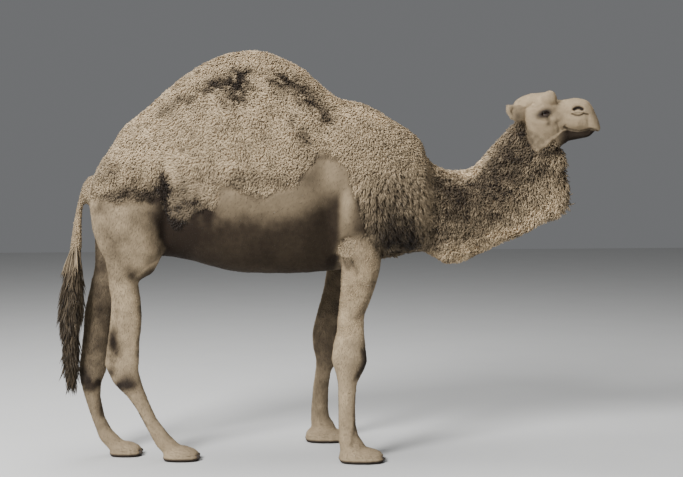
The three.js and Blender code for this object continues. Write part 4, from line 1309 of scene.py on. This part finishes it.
def strand_nodes(group, given, results):
    """Makes each tuft darker at its root and a little unlike its neighbours."""
    span = sums(group, "SUBTRACT", given["Tip"], given["Root"])
    along = sums(group, "ADD", sums(group, "MULTIPLY", stored(group, "tip"), span), given["Root"])
    unlike = sums(group, "MULTIPLY", sums(group, "SUBTRACT", stored(group, "strand"), 0.5),
                  given["Unlike"])
    tone = sums(group, "ADD", along, unlike)
    scaled = group.nodes.new("ShaderNodeVectorMath")
    scaled.operation = "SCALE"
    group.links.new(given["Color"], scaled.inputs[0])
    group.links.new(tone, scaled.inputs["Scale"])
    group.links.new(scaled.outputs[0], results["Color"])


def strand_tone(tree, colour, root, tip, unlike):
    """The shared strand tone placed in a tree."""
    group = shared("Strand tone", strand_nodes, [
        ("Color", "INPUT", "Color", (1, 1, 1, 1)), ("Root", "INPUT", "Float", 0.5),
        ("Tip", "INPUT", "Float", 1.1), ("Unlike", "INPUT", "Float", 0.2),
        ("Color", "OUTPUT", "Color", None)])
    return placed(tree, group, Color=colour, Root=root, Tip=tip, Unlike=unlike)


def placed(tree, group, **values):
    """One of the shared groups in a material, with its own values."""
    node = tree.nodes.new("ShaderNodeGroup")
    node.node_tree = group
    for name, value in values.items():
        joined(tree, value, node.inputs[name])
    return node.outputs[0]


def new_material(name, **values):
    """A material with only a Principled shader, its plain values set on its sockets."""
    material = bpy.data.materials.new(name)
    material.use_nodes = True
    tree = material.node_tree
    shader = next(node for node in tree.nodes if node.type == "BSDF_PRINCIPLED")
    for label, value in values.items():
        shader.inputs[label.replace("_", " ")].default_value = value
    return material, tree, shader


def bumped(tree, shader, height, strength, distance):
    """The shared relief placed in a tree, on its shader's normal."""
    group = shared("Surface relief", relief_nodes, [
        ("Height", "INPUT", "Float", 0.5), ("Strength", "INPUT", "Float", 0.5),
        ("Distance", "INPUT", "Float", 0.001), ("Normal", "OUTPUT", "Vector", None)])
    normal = placed(tree, group, Height=height, Strength=strength, Distance=distance)
    tree.links.new(normal, shader.inputs["Normal"])


def rgba(colour):
    return (*colour, 1.0)


BETWEEN_HAIRS, SHADE_UNDER_WOOL = (0.35, 0.33, 0.30, 1), (0.62, 0.58, 0.54, 1)


def skin_material():
    """Short flat hair over the skin, with bare leathery pads, and painted shade on the skin under
    the long wool.
    """
    material, tree, shader = new_material("Short flat hair", Roughness=0.85,
                                          Specular_IOR_Level=0.14)
    hair = grain(tree, 420.0, 4.0, (1.0, 1.0, 0.16))
    colour = coat_colour(tree, 0.16)
    strands = mixed(tree, hair, BETWEEN_HAIRS, (1, 1, 1, 1))
    shaded = mixed(tree, 0.35, colour, strands, "MULTIPLY")
    # Painted shade: the skin under the long wool is darkened.
    under = mixed(tree, 1.0, shaded, SHADE_UNDER_WOOL, "MULTIPLY")
    tree.links.new(mixed(tree, stored(tree, "wool"), shaded, under), shader.inputs["Base Color"])
    leather = grain(tree, 160.0, 5.0)
    height = sums(tree, "ADD", sums(tree, "MULTIPLY", hair, 0.6),
                  sums(tree, "MULTIPLY", leather, 0.5))
    bumped(tree, shader, height, 0.55, 0.0016)
    return material


# Each kind of tuft: tone at its root and tip, and how unlike its neighbours it is.
TUFT_TONES = {"Curled wool": (0.88, 1.03, 0.16), "Neck curls": (0.66, 1.16, 0.80),
              "Short hair": (0.88, 1.00, 0.14), "Tail hair": (0.55, 0.95, 0.35)}


def hair_material(name):
    """The material of one kind of tuft, made on first use."""
    found = bpy.data.materials.get(name)
    if found:
        return found
    material, tree, shader = new_material(name, Roughness=0.86, Specular_IOR_Level=0.12,
                                          Sheen_Weight=0.05, Sheen_Roughness=0.5)
    colour = strand_tone(tree, coat_colour(tree, 0.10), *TUFT_TONES[name])
    tree.links.new(colour, shader.inputs["Base Color"])
    bumped(tree, shader, grain(tree, 900.0, 2.0), 0.25, 0.0006)
    return material


# Colours of the eye, and the half sizes of iris and pupil as shares of the ball.
IRIS_DEEP, EYE_WHITE = (0.012, 0.006, 0.003, 1), (0.035, 0.020, 0.013, 1)
PUPIL, IRIS_SIZE, PUPIL_SIZE = (0.002, 0.002, 0.002, 1), (0.74, 0.70), (0.42, 0.17)


def eye_material():
    """A dark wet eye with a long level pupil. `gaze` is each point along, up and out."""
    colours = bpy.context.scene.camel_colours
    material, tree, shader = new_material("Wet eye", Roughness=0.08, Coat_Weight=0.6,
                                          Coat_Roughness=0.03)
    gaze = tree.nodes.new("ShaderNodeAttribute")
    gaze.attribute_name = "gaze"
    parts = tree.nodes.new("ShaderNodeSeparateXYZ")
    tree.links.new(gaze.outputs["Vector"], parts.inputs[0])
    along, up = parts.outputs[0], parts.outputs[1]

    def oval(long, high):
        wide, tall = (sums(tree, "POWER", sums(tree, "ABSOLUTE", sums(tree, "DIVIDE", *pair)), 2.4)
                      for pair in ((along, long), (up, high)))
        edge = sums(tree, "SUBTRACT", 1.0, sums(tree, "ADD", wide, tall))
        return sums(tree, "MULTIPLY", edge, 6.0, clamp=True)

    fibres = grain(tree, 900.0, 2.0)
    iris = mixed(tree, fibres, rgba(colours.iris), IRIS_DEEP)
    ball = mixed(tree, oval(*IRIS_SIZE), EYE_WHITE, iris)
    tree.links.new(mixed(tree, oval(*PUPIL_SIZE), ball, PUPIL), shader.inputs["Base Color"])
    return material


def nail_material():
    """Dark horn in pale layers."""
    colours = bpy.context.scene.camel_colours
    material, tree, shader = new_material("Horn", Roughness=0.5, Specular_IOR_Level=0.4)
    layers = grain(tree, 260.0, 3.0, (0.35, 1.0, 1.0))
    pale = tuple(min(c * 2.6, 1.0) for c in colours.horn)
    tree.links.new(mixed(tree, layers, rgba(colours.horn), rgba(pale)), shader.inputs["Base Color"])
    bumped(tree, shader, layers, 0.5, 0.0010)
    return material


def floor_material():
    """A plain pale floor, a little uneven in tone."""
    colours = bpy.context.scene.camel_colours
    material, tree, shader = new_material("Pale floor", Roughness=0.9, Specular_IOR_Level=0.1)
    tone = tuple(c * 0.94 for c in colours.floor)
    tree.links.new(mixed(tree, grain(tree, 2.5, 5.0), rgba(tone), rgba(colours.floor)),
                   shader.inputs["Base Color"])
    return material


# ---- eyes, lashes and nails ------------------------------------------------------------------
def new_piece(name, places, faces, material):
    """A piece of the model from straight places and faces."""
    mesh = bpy.data.meshes.new(name)
    mesh.from_pydata(bent(places).tolist(), [], faces)
    mesh.shade_smooth()
    mesh.materials.append(material)
    obj = bpy.data.objects.new(name, mesh)
    bpy.context.scene.collection.objects.link(obj)
    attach(obj, "root")
    return obj


def globe(rings, sides):
    """Unit ball points with poles on +-Y, and its faces."""
    points = [(0, 1, 0)]
    for r in range(1, rings):
        level, radius = math.cos(math.pi * r / rings), math.sin(math.pi * r / rings)
        points += [(radius * math.cos(a), level, radius * math.sin(a))
                   for a in (2 * math.pi * k / sides for k in range(sides))]
    points.append((0, -1, 0))
    last = len(points) - 1
    faces = [(0, 1 + k, 1 + (k + 1) % sides) for k in range(sides)]
    for r in range(rings - 2):
        a = 1 + r * sides
        faces += [(a + k, a + sides + k, a + sides + (k + 1) % sides, a + (k + 1) % sides)
                  for k in range(sides)]
    a = last - sides
    faces += [(last, a + (k + 1) % sides, a + k) for k in range(sides)]
    return np.array(points, float), faces


def make_eye(node, side):
    """An eyeball with its clear front swelling a little."""
    points, faces = globe(40, 48)
    if side < 0:
        points[:, 1] *= -1
        faces = [face[::-1] for face in faces]
    gaze = np.stack([points[:, 0] * math.cos(EYE_TILT) + points[:, 2] * math.sin(EYE_TILT),
                     points[:, 2] * math.cos(EYE_TILT) - points[:, 0] * math.sin(EYE_TILT),
                     points[:, 1] * side], 1)
    swell = 1 + 0.035 * smoothstep(0.70, 0.95, gaze[:, 2])
    places = points * (EYE_RADIUS * swell)[:, None] + EYE_AT * np.array([1, side, 1])
    obj = new_piece(f"eyeball_{node.split('_')[1]}", places, faces, eye_material())
    layer = obj.data.attributes.new("gaze", "FLOAT_VECTOR", "POINT")
    layer.data.foreach_set("vector", gaze.astype(np.float32).ravel())
    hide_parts(node)


def make_nail(node):
    """A blunt ridged nail on a toe, curving down to its edge."""
    low, high = (np.array(corner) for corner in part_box(node))
    middle, half = (low + high) / 2, (high - low) / 2
    points, faces = globe(14, 28)
    points = points[:, [1, 0, 2]]
    faces = [face[::-1] for face in faces]
    points = np.sign(points) * np.abs(points) ** 0.85
    forward = (points[:, 0] + 1) / 2
    points[:, 1] *= 1 - 0.30 * forward ** 2
    points[:, 2] = points[:, 2] * (1 - 0.25 * forward) - 0.16 * forward ** 2
    ridge = 1 + 0.018 * np.cos(points[:, 1] * 22)
    places = straightened(middle + points * half * 1.02 * ridge[:, None])
    places[:, 2] = np.maximum(places[:, 2], 0.0015)
    name = node.replace("leg_", "_").replace("_nail", "_toenail")
    obj = new_piece(name, places, faces, nail_material())
    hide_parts(node)


def lash_roots():
    """Roots and ways of the lashes along both upper lids."""
    roots, ways = [], []
    for side in (1, -1):
        for row in range(2):
            for share in np.linspace(-0.86, 0.90, 30 - 4 * row):
                along = share * EYE_LONG
                up = EYE_HIGH * UPPER_LID * (1 - abs(share) ** LID_SHAPE) + 0.0012 + 0.0012 * row
                out = math.sqrt(max((EYE_RADIUS + LID_THICKNESS) ** 2 - along ** 2 - up ** 2, 0))
                c, s = math.cos(EYE_TILT), math.sin(EYE_TILT)
                roots.append(EYE_AT * (1, side, 1) + np.array(
                    (along * c - up * s, out * side, along * s + up * c)))
                ways.append((share * 0.5 * c, 0.8 * side, -0.35 + 0.2 * row))
    return np.array(roots), unit(np.array(ways))


def make_lashes():
    """The lashes of both eyes, as tufts of four segments."""
    roots, ways = lash_roots()
    count = len(roots)
    rng = np.random.default_rng(61)
    eyes = EYE_AT * np.stack([np.ones(count), np.sign(roots[:, 1]), np.ones(count)], 1)
    outward = unit(roots - eyes)
    lie = unit(ways - (ways * outward).sum(1, keepdims=True) * outward)
    points = tuft_points(roots, outward, lie, rng.uniform(0.014, 0.022, count),
                         rng.uniform(0.0009, 0.0014, count), np.radians(rng.uniform(20, 40, count)),
                         np.radians(rng.uniform(40, 70, count)), rng.normal(0, 0.25, count),
                         segments=4, ridge=0.7, sunk=0.0015)
    still = {"shade": np.full(count, 0.05), "bare": np.zeros(count), "wool": np.zeros(count),
             "strand": rng.random(count)}
    obj = tuft_object("lashes", points, 4, roots, [HEAD_AXIS], still)
    obj.data.materials.append(hair_material("Tail hair"))


# ---- where each piece of the coat grows ------------------------------------------------------
def face_open(places):
    """1 over the eye's slit, in the nostril and along the lips, where no hair grows."""
    along, across, out = eye_frame(places)
    eye = ((along / 0.026) ** 2 + (across / 0.0155) ** 2 < 1) & (out > -0.02)
    nostril = line_distance(places, HEAD_LINES["nostril"][0]) < 0.007
    nostril &= np.abs(places[:, 1]) > 0.02
    lips = line_distance(places, HEAD_LINES["mouth"][0]) < 0.0045
    return eye | nostril | lips


def coat_areas():
    """The skin's places and weights, and 1 where they carry long wool, at every vertex."""
    return skin["places"], skin["weights"], smoothstep(0.12, 0.80, skin["wool"])


# The pieces of the body's wool part at the hump's foot and the body's middle. The hanging wool
# of the chest takes over in front of and below these.
HUMP_FOOT, BODY_HALVES = 1.70, -0.42
CAPE_REAR, CAPE_TOP = 0.08, 1.44


def make_body_wool():
    """Felted wool in six pieces, and the hanging wool of the chest."""
    places, weights, long = coat_areas()
    x, y, z = places.T
    body = of(weights, "trunk", "thigh", "dock") * long
    frayed = np.minimum(x - CAPE_REAR, CAPE_TOP - z) + 0.05 * noise(places, 0.05, 8)
    cape = smoothstep(-0.04, 0.04, frayed)
    top, front, left = z > HUMP_FOOT, x >= BODY_HALVES, y >= 0
    spacing = bpy.context.scene.camel_coat.wool_spacing
    parts = {"coat_hump_front": top & front, "coat_hump_rear": top & ~front,
             "coat_rump_right": ~top & ~left & ~front, "coat_rump_left": ~top & left & ~front,
             "coat_shoulder_right": ~top & ~left & front,
             "coat_shoulder_left": ~top & left & front}
    for seed, (name, where) in enumerate(parts.items()):
        coat_piece(name, "wool", spacing, body * where * (1 - cape), [BODY_AXIS],
                   hair_material("Curled wool"), 70 + seed)
    coat_piece("coat_cape", "cape", spacing, body * cape, [BODY_AXIS, NECK_AXIS],
               hair_material("Curled wool"), 80)


def make_neck_wool():
    """Curls on both sides of the neck, and the beard."""
    places, weights, long = coat_areas()
    y = places[:, 1]
    neck = smoothstep(0.15, 0.45, of(weights, "neck")) * long
    spacing = bpy.context.scene.camel_coat.neck_spacing
    for seed, (name, side) in enumerate((("right", y < 0), ("left", y >= 0))):
        coat_piece(f"coat_neck_{name}", "curls", spacing, neck * side, [NECK_AXIS],
                   hair_material("Neck curls"), 90 + seed)
    throat = blob(places, (1.215, 0, 1.40), (0.075, 0.10, 0.17)) > 0.45
    coat_piece("coat_beard", "beard", spacing * 1.15, neck * throat, [NECK_AXIS],
               hair_material("Neck curls"), 95)


TAIL_SPACING, TAIL_HAIR_TOP = 0.0055, 1.16


def make_tail():
    """Long hair from the middle of the tail down."""
    places, weights, _ = coat_areas()
    tuft = of(weights, "tuft") * (places[:, 2] < TAIL_HAIR_TOP)
    coat_piece("coat_tail", "tail", TAIL_SPACING, tuft, [TAIL_AXIS],
               hair_material("Tail hair"), 100)


def make_short_hair():
    """Short hair of the head, belly and legs, and thin wool on the forearms."""
    places, weights, long = coat_areas()
    coat = bpy.context.scene.camel_coat
    spacing, material = coat.short_spacing, hair_material("Short hair")
    short = 1 - long
    head = smoothstep(0.2, 0.5, of(weights, "head", "ear") + of(weights, "neck") * short)
    closed = 1 - face_open(places)
    coat_piece("coat_head", "face", spacing * 0.52, head * closed, [HEAD_AXIS],
               material, 110)
    sides = of(weights, "trunk") * short
    coat_piece("coat_belly", "short", spacing * 1.7, sides, [BODY_AXIS],
               material, 111)
    fore = places[:, 0] > FORE_FROM
    legs = of(weights, "shank", "arm", "thigh", "foot") * short * (places[:, 2] > 0.03)
    legs *= 1 - np.clip(skin_bareness(places), 0, 1)
    coat_piece("coat_forelegs", "short", spacing, legs * fore, FORE_AXES,
               material, 112)
    coat_piece("coat_hindlegs", "short", spacing, legs * ~fore, HIND_AXES,
               material, 113)
    coat_piece("coat_forearms", "wool", coat.wool_spacing * 0.9, of(weights, "arm") * long,
               FORE_AXES, hair_material("Curled wool"), 114)


# ---- the stage -------------------------------------------------------------------------------
CAMERA_AT = (-0.588, -6.2308, 1.5)
CAMERA_SWING, CAMERA_DOWN = math.radians(6), math.radians(3.457)
LIGHTS_AIM = (0, 0, 1.2)


def linked(name, data, at, way):
    """An object in the scene at a place, facing a way."""
    obj = bpy.data.objects.new(name, data)
    obj.location = at
    obj.rotation_mode = "QUATERNION"
    obj.rotation_quaternion = way.to_track_quat("-Z", "Y")
    bpy.context.scene.collection.objects.link(obj)
    return obj


def area_light(name, at, size, energy):
    """A round soft light that faces the model."""
    light = bpy.data.lights.new(name, "AREA")
    light.shape, light.size, light.energy = "DISK", size, energy
    linked(name, light, at, Vector(LIGHTS_AIM) - Vector(at))


def make_stage():
    """The floor, the lights and the camera."""
    scene = bpy.context.scene
    looks = scene.camel_stage
    half = looks.floor_size / 2
    mesh = bpy.data.meshes.new("floor")
    mesh.from_pydata([(-half, -half, 0), (half, -half, 0), (half, half, 0), (-half, half, 0)], [],
                     [(0, 1, 2, 3)])
    mesh.materials.append(floor_material())
    floor = bpy.data.objects.new("floor", mesh)
    scene.collection.objects.link(floor)
    world = bpy.data.worlds.new("Studio")
    world.use_nodes = True
    sky = world.node_tree.nodes["Background"]
    sky.inputs["Color"].default_value = (0.95, 0.97, 1.0, 1.0)
    sky.inputs["Strength"].default_value = looks.sky
    scene.world = world
    area_light("key", (-4.5, -4.5, 5.5), 2.6, looks.key_light)
    area_light("top", (-1.0, 0.5, 6.5), 4.0, looks.top_light)
    area_light("fill", (5.0, -5.0, 2.5), 4.0, looks.fill_light)
    camera = bpy.data.cameras.new("camera")
    camera.lens, camera.sensor_width = looks.lens, 36.0
    level = math.cos(CAMERA_DOWN)
    ahead = Vector((math.sin(CAMERA_SWING) * level, math.cos(CAMERA_SWING) * level,
                    -math.sin(CAMERA_DOWN)))
    scene.camera = linked("camera", camera, CAMERA_AT, ahead)


# ---- settings, operators and panel -------------------------------------------------------------
def colour_of(name, description, default):
    """A colour setting."""
    return bpy.props.FloatVectorProperty(name=name, description=description, subtype="COLOR",
                                         size=3, min=0, max=1, default=default)


class CamelColours(bpy.types.PropertyGroup):
    """Colours of the animal and the floor"""
    pale: colour_of("Pale hair", "The lightest hair of the coat", (0.66, 0.510, 0.325))
    # The dark is deep enough to carry the painted shade under the body, on the jaw and in the
    # hollows, as well as the darkest hair.
    dark: colour_of("Dark hair", "The darkest hair of the coat", (0.021, 0.0140, 0.0092))
    bare: colour_of("Bare pads", "Leathery skin of the joints, lips and soles",
                    (0.034, 0.026, 0.021))
    iris: colour_of("Iris", "The brown of the eyes", (0.055, 0.022, 0.008))
    horn: colour_of("Horn", "The toenails", (0.035, 0.027, 0.021))
    floor: colour_of("Floor", "The studio floor", (0.62, 0.62, 0.61))


def number_of(name, description, default, **limits):
    """A number setting."""
    return bpy.props.FloatProperty(name=name, description=description, default=default, **limits)


class CamelCoat(bpy.types.PropertyGroup):
    """How far apart the tufts of the coat stand"""
    wool_spacing: number_of("Wool spacing", "From one tuft of wool to the next on the body",
                            0.0055, min=0.004, unit="LENGTH")
    neck_spacing: number_of("Neck spacing", "From one tuft of wool to the next on the neck",
                            0.0068, min=0.004, unit="LENGTH")
    short_spacing: number_of("Short hair spacing", "From one short tuft to the next on the legs",
                             0.0085, min=0.003, unit="LENGTH")


class CamelStage(bpy.types.PropertyGroup):
    """The floor, the camera's lens and the lights"""
    floor_size: number_of("Floor size", "Side of the square floor", 30.0, unit="LENGTH")
    lens: number_of("Lens", "Focal length of the camera", 63.25, unit="CAMERA")
    sky: number_of("Sky", "Strength of the even light from all round", 0.17)
    key_light: number_of("Key light", "Main lamp, high at the rear right", 1080.0, unit="POWER")
    top_light: number_of("Top light", "Broad lamp overhead", 360.0, unit="POWER")
    fill_light: number_of("Fill light", "Weak lamp at the front right", 15.0, unit="POWER")


class CAMEL_OT_skin(bpy.types.Operator):
    """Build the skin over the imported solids"""
    bl_idname, bl_label = "camel.skin", "Skin"

    def execute(self, context):
        make_skin()
        return {"FINISHED"}


class CAMEL_OT_eyes(bpy.types.Operator):
    """Build both eyeballs and their lashes"""
    bl_idname, bl_label = "camel.eyes", "Eyes and lashes"

    def execute(self, context):
        make_eye("eye_left", 1)
        make_eye("eye_right", -1)
        make_lashes()
        return {"FINISHED"}


class CAMEL_OT_nails(bpy.types.Operator):
    """Build the two nails of each foot"""
    bl_idname, bl_label = "camel.nails", "Toenails"

    def execute(self, context):
        for node in NAILS:
            make_nail(node)
        return {"FINISHED"}


class CAMEL_OT_body_wool(bpy.types.Operator):
    """Grow the half-moulted wool of the hump, sides, rump and chest"""
    bl_idname, bl_label = "camel.body_wool", "Body wool"

    def execute(self, context):
        make_body_wool()
        return {"FINISHED"}


class CAMEL_OT_neck_wool(bpy.types.Operator):
    """Grow the curls of the neck and the beard under the throat"""
    bl_idname, bl_label = "camel.neck_wool", "Neck wool"

    def execute(self, context):
        make_neck_wool()
        return {"FINISHED"}


class CAMEL_OT_tail(bpy.types.Operator):
    """Grow the long hair of the tail"""
    bl_idname, bl_label = "camel.tail", "Tail hair"

    def execute(self, context):
        make_tail()
        return {"FINISHED"}


class CAMEL_OT_short_hair(bpy.types.Operator):
    """Grow the short hair of the head, belly and legs, and the wool left on the forearms"""
    bl_idname, bl_label = "camel.short_hair", "Short hair"

    def execute(self, context):
        make_short_hair()
        return {"FINISHED"}


class CAMEL_OT_stage(bpy.types.Operator):
    """Set out the floor, the lights and the camera"""
    bl_idname, bl_label = "camel.stage", "Stage"

    def execute(self, context):
        make_stage()
        return {"FINISHED"}


OPERATORS = (CAMEL_OT_stage, CAMEL_OT_skin, CAMEL_OT_eyes, CAMEL_OT_nails, CAMEL_OT_body_wool,
             CAMEL_OT_neck_wool, CAMEL_OT_tail, CAMEL_OT_short_hair)
SETTINGS = {"camel_colours": CamelColours, "camel_coat": CamelCoat, "camel_stage": CamelStage}


class CAMEL_PT_build(bpy.types.Panel):
    """Buttons for the pieces of the camel, with their settings"""
    bl_idname, bl_label = "CAMEL_PT_build", "Camel"
    bl_space_type, bl_region_type, bl_category = "VIEW_3D", "UI", "Camel"

    def draw(self, context):
        for operator in OPERATORS:
            self.layout.operator(operator.bl_idname)
        for name, group in SETTINGS.items():
            for setting in group.__annotations__:
                self.layout.prop(getattr(context.scene, name), setting)


CLASSES = (*SETTINGS.values(), *OPERATORS, CAMEL_PT_build)


def register():
    for made in CLASSES:
        bpy.utils.register_class(made)
    for name, group in SETTINGS.items():
        setattr(bpy.types.Scene, name, bpy.props.PointerProperty(type=group))


def unregister():
    for name in SETTINGS:
        delattr(bpy.types.Scene, name)
    for made in reversed(CLASSES):
        bpy.utils.unregister_class(made)


def main():
    """Builds everything."""
    register()
    for build in (bpy.ops.camel.stage, bpy.ops.camel.skin, bpy.ops.camel.eyes, bpy.ops.camel.nails,
                  bpy.ops.camel.body_wool, bpy.ops.camel.neck_wool, bpy.ops.camel.tail,
                  bpy.ops.camel.short_hair):
        build()


if __name__ == "__main__":
    main()
